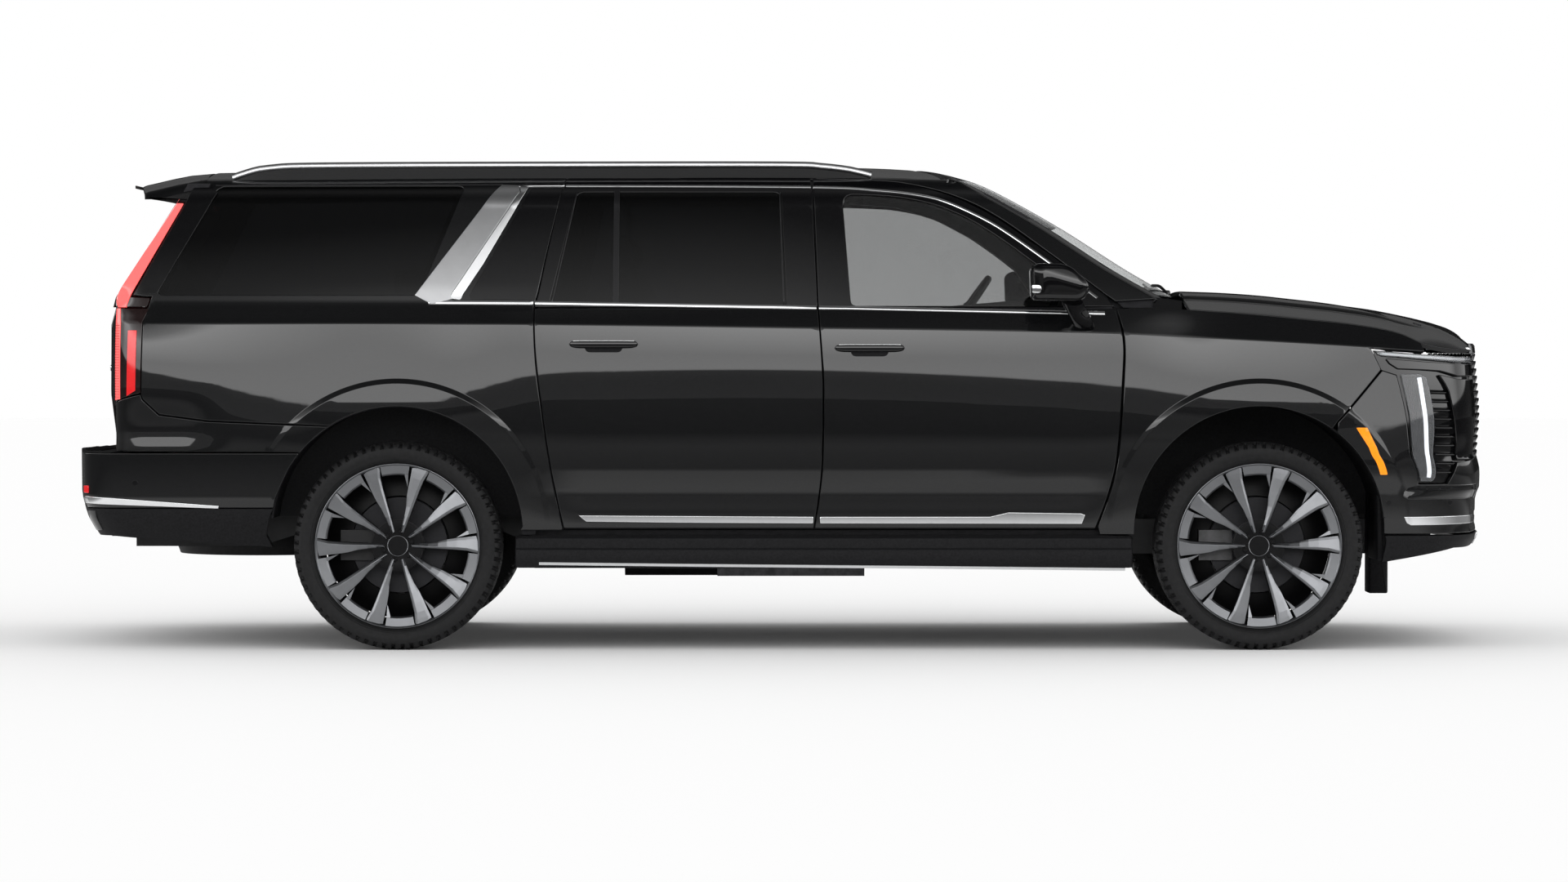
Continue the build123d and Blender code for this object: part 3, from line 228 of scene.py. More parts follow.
def body(t, z):
    """A point of the lower body, from its place along the plan outline and its height."""
    t, z = np.asarray(t, float), np.asarray(z, float)
    x = nose_x(z) - np.interp(np.abs(t), PLAN_T, PLAN_X) * (nose_x(z) - TUB_REAR) / PLAN_LENGTH
    share = np.interp(np.abs(t), PLAN_T, PLAN_Y)
    y = half_width(x, z) * share + flare(x, z) * ease(share, 0.9, 0.95)
    return np.stack([x, -y * np.where(t < 0, -1, 1), z], axis=-1)


def body_t(x, z):
    """The place along the plan outline of a point seen from the side."""
    return np.interp((nose_x(z) - x) * PLAN_LENGTH / (nose_x(z) - TUB_REAR),
                     PLAN_X[:REARMOST], PLAN_T[:REARMOST])


def on_body(outline):
    """A side-view outline in the lower body's own coordinates."""
    return [(float(body_t(x, z)), z) for x, z in outline]


def front_t(y, z):
    """The place along the plan outline of a point seen from ahead."""
    tip = np.argmax(PLAN_Y)
    return float(np.interp(abs(y) / half_width(2.6, z), PLAN_Y[:tip], PLAN_T[:tip]))


V_SIDE, V_EDGE, V_ROOF, EDGE_Z = 0.42, 0.62, 1.3, 1.857


def belt_y(x):
    """Half the glasshouse's width at the belt."""
    return curve(x, [(-2.76, 0.925), (-1.3, 0.948), (0, 0.95), (0.8, 0.944), (1.7, 0.925)])


def cantrail_y(x):
    """Half the glasshouse's width at the roof's edge."""
    return curve(x, [(-2.76, 0.728), (-1.3, 0.772), (0, 0.78), (0.8, 0.742), (1.7, 0.7)])


def roof_z(x, y):
    """Height of the roof, which is crowned along and across the car."""
    crown = curve(x, [(-2.76, 1.9), (-2.2, 1.915), (-1.3, 1.928), (0, 1.936), (0.4, 1.932), (0.8, 1.908),
                      (1.7, 1.88)])
    return crown - (crown - CANTRAIL) * (y / cantrail_y(x))**2


def house(x, v):
    """A point of the glasshouse: up the side, over the rounded edge and across the roof."""
    x, v = np.asarray(x, float), np.asarray(v, float)
    belt, cant = belt_y(x), cantrail_y(x)
    rise = CANTRAIL - BELT
    top = 1 - 0.1 / rise
    s = np.clip(v / V_SIDE, None, 1)
    bow = 0.006 * (1 - (2 * np.clip(s, 0, 1) - 1)**2)
    side_y, side_z = belt + (cant - belt) * s * top + bow, BELT + rise * s * top
    a_y, a_z = belt + (cant - belt) * top, BELT + rise * top
    b_y = cant - 0.12
    q = np.clip((v - V_SIDE) / (V_EDGE - V_SIDE), 0, 1)
    edge_y = (1 - q)**2 * a_y + 2 * q * (1 - q) * cant + q * q * b_y
    edge_z = (1 - q)**2 * a_z + 2 * q * (1 - q) * EDGE_Z + q * q * roof_z(x, b_y)
    r = np.clip((v - V_EDGE) / (V_ROOF - V_EDGE), 0, 1)
    top_y = b_y * (1 - r)
    y = np.where(v < V_SIDE, side_y, np.where(v < V_EDGE, edge_y, top_y))
    z = np.where(v < V_SIDE, side_z, np.where(v < V_EDGE, edge_z, roof_z(x, top_y)))
    return np.stack([x, -y, z], axis=-1)


def house_v(x, z):
    """The glasshouse's own height coordinate at a place in side view."""
    v = np.linspace(-0.1, V_ROOF, 700)
    return float(np.interp(z, house(np.full(700, x), v)[:, 2], v))


def on_house(outline):
    """A side-view outline in the glasshouse's own coordinates."""
    return [(x, house_v(x, z)) for x, z in outline]


SCREEN_LINE = np.array(spline([(0.42, 1.943), (0.6, 1.918), (0.75, 1.886), (0.89, 1.834), (1.16, 1.684), (1.43, 1.512),
                               (1.64, 1.392), (1.7, 1.352)], 0.004))
SCREEN_W = np.concatenate([[0], np.cumsum(np.hypot(*np.diff(SCREEN_LINE, axis=0).T))])
SCREEN_AXIS, SCREEN_RADIUS = -1.2, 2.4


def screen(a, w):
    """A point of the windshield: round an upright axis far behind it, and down its face."""
    radius = np.interp(w, SCREEN_W, SCREEN_LINE[:, 0]) - SCREEN_AXIS
    angle = np.asarray(a, float) / SCREEN_RADIUS
    return np.stack([SCREEN_AXIS + radius * np.cos(angle), -radius * np.sin(angle),
                     np.interp(w, SCREEN_W, SCREEN_LINE[:, 1])], axis=-1)


def screen_at(z):
    """The distance down the windshield to a height, and the distance from its axis there."""
    w = np.interp(-z, -SCREEN_LINE[:, 1], SCREEN_W)
    return w, np.interp(w, SCREEN_W, SCREEN_LINE[:, 0]) - SCREEN_AXIS


def on_screen(points):
    """Points given by distance from the centre plane and height, on the windshield."""
    return [(asin(y / screen_at(z)[1]) * SCREEN_RADIUS, float(screen_at(z)[0])) for y, z in points]


def pillar_edge(z):
    """Where the glasshouse side meets the windshield at a height: x and distance from the centre plane."""
    radius = float(screen_at(z)[1])
    x = 1.0
    for _ in range(30):
        y = -float(house(np.array([x]), np.array([house_v(x, z)]))[0, 1])
        x = SCREEN_AXIS + (radius**2 - y**2)**0.5
    return x, y


# Hood ---------------------------------------------------------------------------------------------

HOOD_REAR, HOOD_TIP = 1.652, 2.849
SEAM = [(HOOD_REAR, 1.344), (1.85, 1.33), (2.088, 1.307), (2.305, 1.283), (2.464, 1.25), (2.545, 1.214),
        (2.62, 1.196), (2.75, 1.186), (2.95, 1.18)]
CROWN = [(HOOD_REAR, 1.418), (1.836, 1.412), (1.972, 1.403), (2.107, 1.389), (2.242, 1.375), (2.378, 1.358),
         (2.513, 1.338), (2.648, 1.314), (2.716, 1.297), (2.784, 1.27), (2.824, 1.238), (HOOD_TIP, 1.198)]


def seam_point(t):
    """A point of the shut line between the hood and the fender."""
    x = nose_x(1.2) - np.interp(t, PLAN_T, PLAN_X)
    return body(t, curve(np.clip(x, HOOD_REAR, 2.9), SEAM))


def hood(t, q):
    """A point of the hood: along the seam from the nose, then across to the centre plane."""
    t, q = np.asarray(t, float), np.asarray(q, float)
    edge = seam_point(t)
    reach = np.clip(t / PLAN_T[np.argmax(PLAN_X > 1.218)], 0, 1)
    rear = HOOD_REAR + 0.02 * (1 - q)
    centre_x = edge[..., 0] + (HOOD_TIP - (HOOD_TIP - rear) * reach - edge[..., 0]) * q
    x = edge[..., 0] * (1 - q) + centre_x * q
    rise = np.clip(curve(x, CROWN) - edge[..., 2], 0, None)
    lift = 1 - (1 - q)**2.1
    dome = 0.012 * ease(q, 0.36, 0.43) * ease(2.75 - x, 0, 0.35)
    return np.stack([x, edge[..., 1] * (1 - q), edge[..., 2] + rise * lift * 0.94 + dome * (rise > 0)], axis=-1)


# Meshes -------------------------------------------------------------------------------------------

class Geo:
    """A mesh being gathered: points, normals, faces and their material numbers."""

    def __init__(self):
        self.points, self.normals, self.faces, self.mats = [], [], [], []

    def add(self, points, faces, mat=0, normals=None):
        """Adds points and the faces between them. Points without a normal get nought."""
        base = len(self.points)
        points = np.asarray(points, float)
        self.points += [tuple(p) for p in points]
        self.normals += [tuple(n) for n in (np.zeros_like(points) if normals is None else normals)]
        self.faces += [[base + i for i in f] for f in faces]
        self.mats += [mat] * len(faces)
        return self

    def join(self, other):
        """Adds all of another geometry."""
        base = len(self.points)
        self.points += other.points
        self.normals += other.normals
        self.faces += [[base + i for i in f] for f in other.faces]
        self.mats += other.mats
        return self

    def mirrored(self):
        """The same geometry on the other side of the centre plane."""
        twin = Geo()
        twin.points = [(x, -y, z) for x, y, z in self.points]
        twin.normals = [(x, -y, z) for x, y, z in self.normals]
        twin.faces = [f[::-1] for f in self.faces]
        twin.mats = list(self.mats)
        return twin

    def moved(self, at, degrees=0):
        """The same geometry turned about the car's cross axis and moved to its place, without its normals."""
        c, s = cos(radians(degrees)), sin(radians(degrees))
        twin = Geo()
        twin.points = [(at[0] + x * c + z * s, at[1] + y, at[2] - x * s + z * c) for x, y, z in self.points]
        twin.normals = [(0.0, 0.0, 0.0)] * len(self.points)
        twin.faces, twin.mats = [list(f) for f in self.faces], list(self.mats)
        return twin


def quads(rows, count, around=True, closed=False):
    """Faces between rows of points: around joins a row's two ends, closed joins the last row to the first."""
    faces = []
    for i in range(rows if closed else rows - 1):
        j = (i + 1) % rows
        for k in range(count if around else count - 1):
            n = (k + 1) % count
            faces.append([i * count + k, i * count + n, j * count + n, j * count + k])
    return faces


def ends(rows, count):
    """The two faces that close a tube of rows."""
    return [list(range(count))[::-1], [(rows - 1) * count + k for k in range(count)]]


def normals_of(surface, u, v, out):
    """Unit normals of a surface by small differences, turned to face out."""
    e = 0.0015
    du = surface(u + e, v) - surface(u - e, v)
    dv = surface(u, v + e) - surface(u, v - e)
    n = np.cross(du, dv)
    n /= np.maximum(np.linalg.norm(n, axis=-1, keepdims=True), 1e-12)
    flip = np.sum(n * out(surface(u, v)), axis=-1) < 0
    n[flip] *= -1
    return n


def outward(p):
    """Roughly outward from the car's middle line."""
    q = np.array(p, float)
    q[..., 0] = p[..., 0] - np.clip(p[..., 0], -2.0, 2.0)
    q[..., 2] = np.clip(p[..., 2] - 1.2, 0, None) * 1.5
    return q


def inside(points, loop):
    """Which points lie inside a closed loop."""
    p, q = np.asarray(points, float), np.asarray(loop, float)
    r = np.roll(q, -1, axis=0)
    result = np.zeros(len(p), bool)
    for (x0, y0), (x1, y1) in zip(q, r):
        cross = ((y0 > p[:, 1]) != (y1 > p[:, 1]))
        if y1 != y0:
            result ^= cross & (p[:, 0] < (x1 - x0) * (p[:, 1] - y0) / (y1 - y0) + x0)
    return result


def within(points, loops):
    """Which points lie inside the first loop and outside all the others."""
    keep = inside(points, loops[0])
    for hole in loops[1:]:
        keep &= ~inside(points, hole)
    return keep


def clear_of(points, others, distance):
    """Which points are farther than a distance from every other point."""
    others = np.asarray(others, float)
    keep = np.ones(len(points), bool)
    for start in range(0, len(others), 200):
        near = others[start:start + 200]
        gap = np.hypot(points[:, None, 0] - near[None, :, 0], points[:, None, 1] - near[None, :, 1])
        keep &= gap.min(axis=1) > distance
    return keep


def offset_loop(loop, distance):
    """A closed loop moved towards its inside, by a distance, at each of its points."""
    p = np.asarray(loop, float)
    a, b = p - np.roll(p, 1, axis=0), np.roll(p, -1, axis=0) - p
    a /= np.linalg.norm(a, axis=1, keepdims=True)
    b /= np.linalg.norm(b, axis=1, keepdims=True)
    area = np.sum(p[:, 0] * np.roll(p[:, 1], -1) - np.roll(p[:, 0], -1) * p[:, 1])
    sign = 1 if area > 0 else -1
    na, nb = np.column_stack([-a[:, 1], a[:, 0]]) * sign, np.column_stack([-b[:, 1], b[:, 0]]) * sign
    n = na + nb
    n /= np.linalg.norm(n, axis=1, keepdims=True)
    scale = 1 / np.maximum(np.sum(n * na, axis=1), 0.5)
    return p + n * (distance * scale)[:, None]


def clean_loop(loop, closest=0.0015):
    """A closed loop without points that nearly coincide."""
    out = []
    for p in loop:
        if not out or hypot(p[0] - out[-1][0], p[1] - out[-1][1]) > closest:
            out.append(p)
    if hypot(out[0][0] - out[-1][0], out[0][1] - out[-1][1]) <= closest:
        out.pop()
    return out


def panel(surface, outline, mat=0, holes=(), lines=(), step=0.03, radius=0.003, flange=0.016, lift=0.0,
          out=outward, gap=GAP):
    """A pressed panel on a surface: skin, rounded edge and return flange.

    The outline, the holes and the lines that the mesh follows are in the surface's two coordinates. The skin lies
    lift above the surface, and each edge stands back from its outline by the gap.
    """
    spacing = step * 0.6
    loops = [np.array(clean_loop(straight(line, spacing))) for line in (outline, *holes)]
    inwards = [1] + [-1] * len(holes)
    rims = [offset_loop(loop, gap * sign) if gap else loop for loop, sign in zip(loops, inwards)]
    skins = [offset_loop(loop, (gap + radius) * sign) for loop, sign in zip(loops, inwards)]
    extra, extra_edges = [], []
    for line in lines:
        pts = np.array(straight(line, spacing, closed=False))
        ok = within(pts, skins) & clear_of(pts, np.concatenate(skins), step * 0.18)
        index = []
        for p, good in zip(pts, ok):
            index.append(len(extra) if good else None)
            if good:
                extra.append(tuple(p))
        extra_edges += [(a, b) for a, b in zip(index, index[1:]) if a is not None and b is not None]
    low, high = loops[0].min(axis=0), loops[0].max(axis=0)
    us, vs = np.arange(low[0], high[0] + step, step), np.arange(low[1], high[1] + step, step * 0.9)
    grid = np.array([(u + (step / 2 if j % 2 else 0), v) for j, v in enumerate(vs) for u in us])
    grid = grid[within(grid, skins)]
    if len(grid):
        grid = grid[clear_of(grid, np.concatenate(skins + ([np.array(extra)] if extra else [])), step * 0.5)]
    points, edges = [], []
    for skin in skins:
        base = len(points)
        points += [tuple(p) for p in skin]
        edges += [(base + k, base + (k + 1) % len(skin)) for k in range(len(skin))]
    base = len(points)
    points += extra + [tuple(p) for p in grid]
    edges += [(base + a, base + b) for a, b in extra_edges]
    result = delaunay_2d_cdt([Vector(p) for p in points], edges, [], 0, 1e-7)
    flat = np.array([(p.x, p.y) for p in result[0]])
    faces = [list(f) for f in result[2]]
    ok = within(np.array([flat[f].mean(axis=0) for f in faces]), skins)
    normals = normals_of(surface, flat[:, 0], flat[:, 1], out)
    spots = surface(flat[:, 0], flat[:, 1]) + normals * lift
    faces = [turned(f, spots, normals) for f, good in zip(faces, ok) if good]
    geo = Geo().add(spots, faces, mat, normals)
    for skin, rim in zip(skins, rims):
        edge_of(geo, surface, skin, rim, radius, flange, lift, mat, out)
    return geo


def pane(surface, outline, lift=-0.004, thickness=0.004, step=0.03, out=outward, gap=-0.004):
    """A sheet of glass with both its faces and its edge, so that light passes straight through it."""
    front, back = (panel(surface, outline, lift=lift - depth, flange=0.0, radius=0.001, gap=gap, step=step, out=out)
                   for depth in (0, thickness))
    count = len(front.points)
    sides = dict.fromkeys((a, b) for face in front.faces for a, b in zip(face, face[1:] + face[:1]))
    rim = [[b, a, count + a, count + b] for a, b in sides if (b, a) not in sides]
    front.add(back.points, [f[::-1] for f in back.faces], 0, -np.array(back.normals))
    front.faces += rim
    front.mats += [0] * len(rim)
    return front


def turned(face, spots, normals):
    """A face wound so that it looks along its first point's normal."""
    a, b, c = (spots[i] for i in face[:3])
    return face if np.dot(np.cross(b - a, c - a), normals[face[0]]) > 0 else face[::-1]


def edge_of(geo, surface, skin, rim, radius, flange, lift, mat, out):
    """The rounded edge and the flange behind it, along one loop of a panel."""
    normals = normals_of(surface, skin[:, 0], skin[:, 1], out)
    spots = surface(skin[:, 0], skin[:, 1]) + normals * lift
    away = surface(rim[:, 0], rim[:, 1]) + normals * lift - spots
    away -= normals * np.sum(away * normals, axis=1, keepdims=True)
    away /= np.maximum(np.linalg.norm(away, axis=1, keepdims=True), 1e-9)
    rows, row_normals = [], []
    for angle in (0, pi / 6, pi / 3, pi / 2):
        rows.append(spots + away * radius * sin(angle) - normals * radius * (1 - cos(angle)))
        row_normals.append(normals * cos(angle) + away * sin(angle))
    if flange:
        rows.append(rows[-1] - normals * flange)
        row_normals.append(away)
    n = len(skin)
    points = np.concatenate(rows)
    all_normals = np.concatenate(row_normals)
    faces = []
    for f in quads(len(rows), n):
        a, b, c = (points[i] for i in f[:3])
        faces.append(f if np.dot(np.cross(b - a, c - a), all_normals[f[0]] + all_normals[f[2]]) > 0 else f[::-1])
    geo.add(points, faces, mat, all_normals)


def sweep(path, profile, closed=False, up=(0, 0, 1), mat=0, normals_up=None, scale=None):
    """A profile carried along a path. The profile's first axis is to the side, its second along up."""
    p = np.asarray(path, float)
    n = len(p)
    tangent = np.roll(p, -1, axis=0) - np.roll(p, 1, axis=0)
    if not closed:
        tangent[0], tangent[-1] = p[1] - p[0], p[-1] - p[-2]
    tangent /= np.linalg.norm(tangent, axis=1, keepdims=True)
    ups = np.tile(np.array(up, float), (n, 1)) if normals_up is None else np.asarray(normals_up, float)
    side = np.cross(tangent, ups)
    side /= np.linalg.norm(side, axis=1, keepdims=True)
    ups = np.cross(side, tangent)
    prof = np.asarray(profile, float)
    m = len(prof)
    sizes = np.ones(n) if scale is None else np.asarray(scale, float)
    points = np.concatenate([p[i] + sizes[i] * (np.outer(prof[:, 0], side[i]) + np.outer(prof[:, 1], ups[i]))
                             for i in range(n)])
    return Geo().add(points, quads(n, m, closed=closed) + ([] if closed else ends(n, m)), mat)


def oval(width, height, count):
    """Points round an ellipse, from its half axes."""
    return [(width * cos(a), height * sin(a)) for a in np.linspace(0, 2 * pi, count + 1)[:-1]]


def circle(radius, count=12):
    """Points round a circle."""
    return [(radius * cos(2 * pi * k / count), radius * sin(2 * pi * k / count)) for k in range(count)]


def lathe(profile, centre, count=96, axis="y", mat=0, closed=True):
    """A profile of (radius, offset along the axis) turned about an axis through a centre."""
    points = []
    for k in range(count):
        a = 2 * pi * k / count
        for r, s in profile:
            points.append((centre[0] + r * cos(a), centre[1] + s, centre[2] + r * sin(a)) if axis == "y"
                          else (centre[0] + r * cos(a), centre[1] + r * sin(a), centre[2] + s))
    return Geo().add(points, quads(count, len(profile), around=closed, closed=True), mat)


def block(low, high, bevel=0.0, mat=0):
    """A box with bevelled edges."""
    (x0, y0, z0), (x1, y1, z1) = low, high
    b = min(bevel, 0.49 * min(x1 - x0, y1 - y0, z1 - z0))
    if b <= 0:
        pts = [(x, y, z) for x in (x0, x1) for y in (y0, y1) for z in (z0, z1)]
        faces = [[0, 1, 3, 2], [4, 6, 7, 5], [0, 4, 5, 1], [2, 3, 7, 6], [0, 2, 6, 4], [1, 5, 7, 3]]
        return Geo().add(pts, faces, mat)
    outline = rounded([(x0, z0), (x1, z0), (x1, z1), (x0, z1)], b)
    return slab(outline, y0, y1, b, mat)


def slab(outline, y_low, y_high, bevel=0.002, mat=0):
    """A side-view outline given thickness across the car, with both its rims bevelled."""
    loop = clean_loop(outline, 0.0004)
    area = sum(a[0] * b[1] - b[0] * a[1] for a, b in zip(loop, loop[1:] + loop[:1]))
    loop = np.array(loop if area > 0 else loop[::-1])
    small = offset_loop(loop, bevel)
    rows = [(small, y_low), (loop, y_low + bevel), (loop, y_high - bevel), (small, y_high)]
    n = len(loop)
    points = [(x, y, z) for ring, y in rows for x, z in ring]
    faces = [f[::-1] for f in ends(4, n)] + [[a, d, c, b] for a, b, c, d in quads(4, n)]
    return Geo().add(points, faces, mat)


def emit(name, geo, where, materials, replaces=(), angle=38):
    """A mesh object from gathered geometry, riding on a body."""
    mesh = bpy.data.meshes.new(name)
    mesh.from_pydata(geo.points, [], geo.faces)
    for m in materials:
        mesh.materials.append(m)
    mesh.polygons.foreach_set("material_index", geo.mats)
    mesh.polygons.foreach_set("use_smooth", [True] * len(mesh.polygons))
    mesh.set_sharp_from_angle(angle=radians(angle))
    if np.any(np.array(geo.normals)):
        mesh.normals_split_custom_set_from_vertices(geo.normals)
    mesh.update()
    piece = bpy.data.objects.new(name, mesh)
    bpy.context.scene.collection.objects.link(piece)
    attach(piece, where)
    if replaces:
        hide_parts(*replaces)
    return piece


def pair(name, geo, where, materials, replaces=(), angle=38):
    """A right-hand piece and its mirror image. A body name with {} in it gives one piece for each side."""
    if "{}" in where:
        for side, part in (("right", geo), ("left", geo.mirrored())):
            emit(f"{name}_{side}", part, where.format(side), materials, [r.format(side) for r in replaces], angle)
    else:
        both = Geo().join(geo).join(geo.mirrored())
        emit(name, both, where, materials, replaces, angle)


# Materials ----------------------------------------------------------------------------------------

def shade(name, color, rough=0.5, metal=0.0, coat=0.0, specular=0.5, clear=0.0, ior=1.5, vary=0.15, vary_scale=30.0,
          bump=0.0, bump_scale=300.0, glow=None, power=0.0, coat_rough=0.02):
    """A Principled material with a little procedural variation in its colour and its surface."""
    made = bpy.data.materials.new(name)
    made.use_nodes = True
    nodes, links = made.node_tree.nodes, made.node_tree.links
    main = nodes["Principled BSDF"]
    for name_of, value in (("Roughness", rough), ("Metallic", metal), ("Specular IOR Level", specular),
                           ("Coat Weight", coat), ("Coat Roughness", coat_rough), ("IOR", ior),
                           ("Transmission Weight", clear), ("Base Color", (*color, 1))):
        main.inputs[name_of].default_value = value
    place = nodes.new("ShaderNodeTexCoord")
    if vary:
        noise = nodes.new("ShaderNodeTexNoise")
        noise.inputs["Scale"].default_value, noise.inputs["Detail"].default_value = vary_scale, 4
        ramp = nodes.new("ShaderNodeValToRGB")
        for element, position, share in zip(ramp.color_ramp.elements, (0.3, 0.7), (1 - vary, 1 + vary)):
            element.position = position
            element.color = (*[min(1, c * share) for c in color], 1)
        links.new(place.outputs["Object"], noise.inputs["Vector"])
        links.new(noise.outputs["Fac"], ramp.inputs["Fac"])
        links.new(ramp.outputs["Color"], main.inputs["Base Color"])
    if bump:
        grain = nodes.new("ShaderNodeTexNoise")
        grain.inputs["Scale"].default_value, grain.inputs["Detail"].default_value = bump_scale, 3
        raised = nodes.new("ShaderNodeBump")
        raised.inputs["Strength"].default_value, raised.inputs["Distance"].default_value = bump, 0.002
        links.new(place.outputs["Object"], grain.inputs["Vector"])
        links.new(grain.outputs["Fac"], raised.inputs["Height"])
        links.new(raised.outputs["Normal"], main.inputs["Normal"])
    if glow:
        main.inputs["Emission Color"].default_value = (*glow, 1)
        main.inputs["Emission Strength"].default_value = power
    return made


BLACK = (0.012, 0.012, 0.013)
PAINT = shade("paint", (0.0035, 0.0037, 0.0042), 0.3, coat=1.0, specular=0.12, vary=0.5, vary_scale=900,
              coat_rough=0.012)
GLOSS = shade("gloss_black", (0.003, 0.003, 0.0035), 0.05, vary=0.2, vary_scale=60)
DARK = shade("grained_black", BLACK, 0.55, specular=0.1, vary=0.25, vary_scale=120, bump=0.25, bump_scale=900)
SATIN = shade("satin_black", (0.006, 0.006, 0.007), 0.28, specular=0.4, vary=0.2, vary_scale=80)
CHROME = shade("bright_trim", (0.86, 0.87, 0.88), 0.13, metal=1.0, vary=0.02, vary_scale=40, bump=0.01,
               bump_scale=1500)
BRUSHED = shade("brushed_blade", (0.62, 0.625, 0.635), 0.3, metal=1.0, vary=0.03, vary_scale=20, bump=0.02,
                bump_scale=1200)
ALLOY = shade("wheel_face", (0.215, 0.22, 0.23), 0.34, metal=1.0, vary=0.04, vary_scale=25, bump=0.015,
              bump_scale=1400)
# Near-black wheel paint for the pockets, spoke flanks, barrel, hub and nuts; on the ring behind the brake disc it is
# painted shade.
POCKET_AND_SHADE = shade("wheel_pocket_and_shade", (0.005, 0.005, 0.0055), 0.35, specular=0.12, vary_scale=60)
RUBBER = shade("tyre_rubber", (0.0095, 0.0095, 0.01), 0.6, specular=0.22, vary=0.3, vary_scale=60, bump=0.2,
               bump_scale=700)
STEEL = shade("dark_steel", (0.1, 0.1, 0.105), 0.4, metal=1.0, vary=0.3, vary_scale=40)
# The brake disc is coloured near-black as painted shade, for the dark inside of the wheel behind the spokes.
SHADED_DISC = shade("brake_disc_painted_shade", (0.03, 0.03, 0.032), 0.42, metal=1.0, vary=0.06, vary_scale=90)
CHASSIS = shade("chassis_black", BLACK, 0.48, specular=0.4, vary=0.4, vary_scale=14, bump=0.15, bump_scale=240)
CAST = shade("cast_metal", (0.09, 0.09, 0.092), 0.52, metal=0.8, vary=0.3, vary_scale=22, bump=0.3, bump_scale=260)
CLEAR = shade("clear_glass", (0.5, 0.505, 0.505), 0.0, clear=1.0, ior=1.45, vary=0.0)
SCREEN_GLASS = shade("screen_glass", (0.78, 0.79, 0.79), 0.0, clear=1.0, ior=1.012, vary=0.0)
TINTED = shade("tinted_glass", (0.03, 0.031, 0.033), 0.0, clear=1.0, ior=1.45, vary=0.0)
LENS = shade("lamp_lens", (0.75, 0.77, 0.8), 0.03, clear=0.9, ior=1.45, vary=0.02)
# Red lens with a weak glow: the tail lamps' own light, and on the rear bumper's reflectors a painted glow standing for
# the light they send back.
RED = shade("red_lens", (0.55, 0.01, 0.012), 0.1, specular=0.6, vary=0.1, vary_scale=200,
            glow=(0.9, 0.03, 0.035), power=0.35)
RED_LIT = shade("red_light", (0.95, 0.1, 0.1), 0.15, vary=0.1, vary_scale=300, glow=(1.0, 0.13, 0.12), power=0.85)
DEEP_RED = shade("dark_red_lens", (0.016, 0.009, 0.009), 0.04, vary=0.2, vary_scale=120)
AMBER = shade("amber_lens", (0.95, 0.28, 0.01), 0.12, vary_scale=160, glow=(1.0, 0.3, 0.01), power=0.45)
LIGHT = shade("white_light", (0.95, 0.96, 0.98), 0.2, vary=0.02, glow=(0.95, 0.97, 1.0), power=1.0)
TRIM = shade("cabin_trim", (0.02, 0.02, 0.022), 0.62, specular=0.15, vary=0.2, vary_scale=50, bump=0.2,
             bump_scale=800)
LEATHER = shade("seat_leather", (0.024, 0.023, 0.023), 0.45, specular=0.4, vary=0.2, vary_scale=18, bump=0.35,
                bump_scale=420)


# Lower body panels --------------------------------------------------------------------------------

A_LINE = spline([(1.335, BELT), (1.364, 1.235), (1.364, 1.08), (1.334, 0.722), (1.258, SILL)], 0.02)
B_LINE = spline([(0.157, BELT), (0.172, 1.148), (0.178, 1.0), (0.171, 0.7), (0.141, SILL)], 0.02)
C_LINE = spline([(-0.967, BELT), (-0.961, 1.18), (-0.944, 1.019), (-0.9, 0.72), (-0.85, SILL)], 0.02)


def arch(axle, start, end, radius=ARCH_R, step=2.5):
    """Points round a wheel opening, by angle from straight ahead."""
    count = max(2, int(abs(end - start) / step))
    return [(axle + radius * cos(radians(a)), ARCH_Z + radius * sin(radians(a)))
            for a in np.linspace(start, end, count)]


def crease_lines(xs):
    """Three lines along the shoulder crease, for the mesh to follow."""
    return [[(x, float(crease_z(x)) + dz) for x in xs] for dz in (-0.006, 0.0, 0.006)]


def features(x_low, x_high, sculpt=True):
    """The lines where the lower body's surface turns, so that the mesh follows them."""
    xs = np.arange(x_low, x_high, 0.03)
    lines = crease_lines(xs)
    if sculpt:
        lines += [[(x, z) for x in xs] for z in (0.607, 0.616, 0.63, 0.64, 0.706, 0.718)]
    lines += [arch(axle, -10, 190, r) for axle in AXLES.values() for r in FLARE_LINES]
    return [on_body(line) for line in lines]


front_door = [(x - 0.0035, z) for x, z in A_LINE] + B_LINE[::-1]
for end, outline, reach in (("front", front_door, (0.15, 1.37)), ("rear", B_LINE + C_LINE[::-1], (-0.98, 0.18))):
    skin = panel(body, on_body(outline), lines=features(*reach))
    pair(f"door_skin_{end}", skin, f"door_{end}_{{}}", [PAINT])

MEET_ANGLE = 54.6
fender_top = [(1.3385, BELT), (1.45, BELT), (1.6, 1.348)] + spline(SEAM[:6], 0.03)
fender = ([(1.409, 0.452), (1.268, 0.452), (1.262, SILL)] + A_LINE[::-1] + fender_top
          + [(2.56, 1.176), (2.345, 1.19), (2.384, 1.106), (2.207, 0.899)]
          + arch(AXLES["front"], MEET_ANGLE, 180))
skin = panel(body, on_body(fender), lines=features(1.36, 2.56, sculpt=False))
pair("fender_skin", skin, "root", [PAINT], replaces=["front_fenders"])


def side(x, v):
    """The whole side in one surface: lower body below the belt, glasshouse above it."""
    x, v = np.asarray(x, float), np.asarray(v, float)
    z = BELT + np.minimum(v, 0)
    low, high = body(body_t(x, z), z), house(x, np.maximum(v, 0))
    blend = np.where(v < 0, 0, 1)[..., None]
    base = body(body_t(x, np.full_like(x, BELT)), np.full_like(x, BELT))
    settle = (base - house(x, np.zeros_like(x))) * (1 - ease(v, 0, 0.1))[..., None]
    return low * (1 - blend) + (high + settle) * blend


def on_side(outline):
    """A side-view outline in the whole side's own coordinates."""
    return [(x, z - BELT if z < BELT else house_v(x, z)) for x, z in outline]


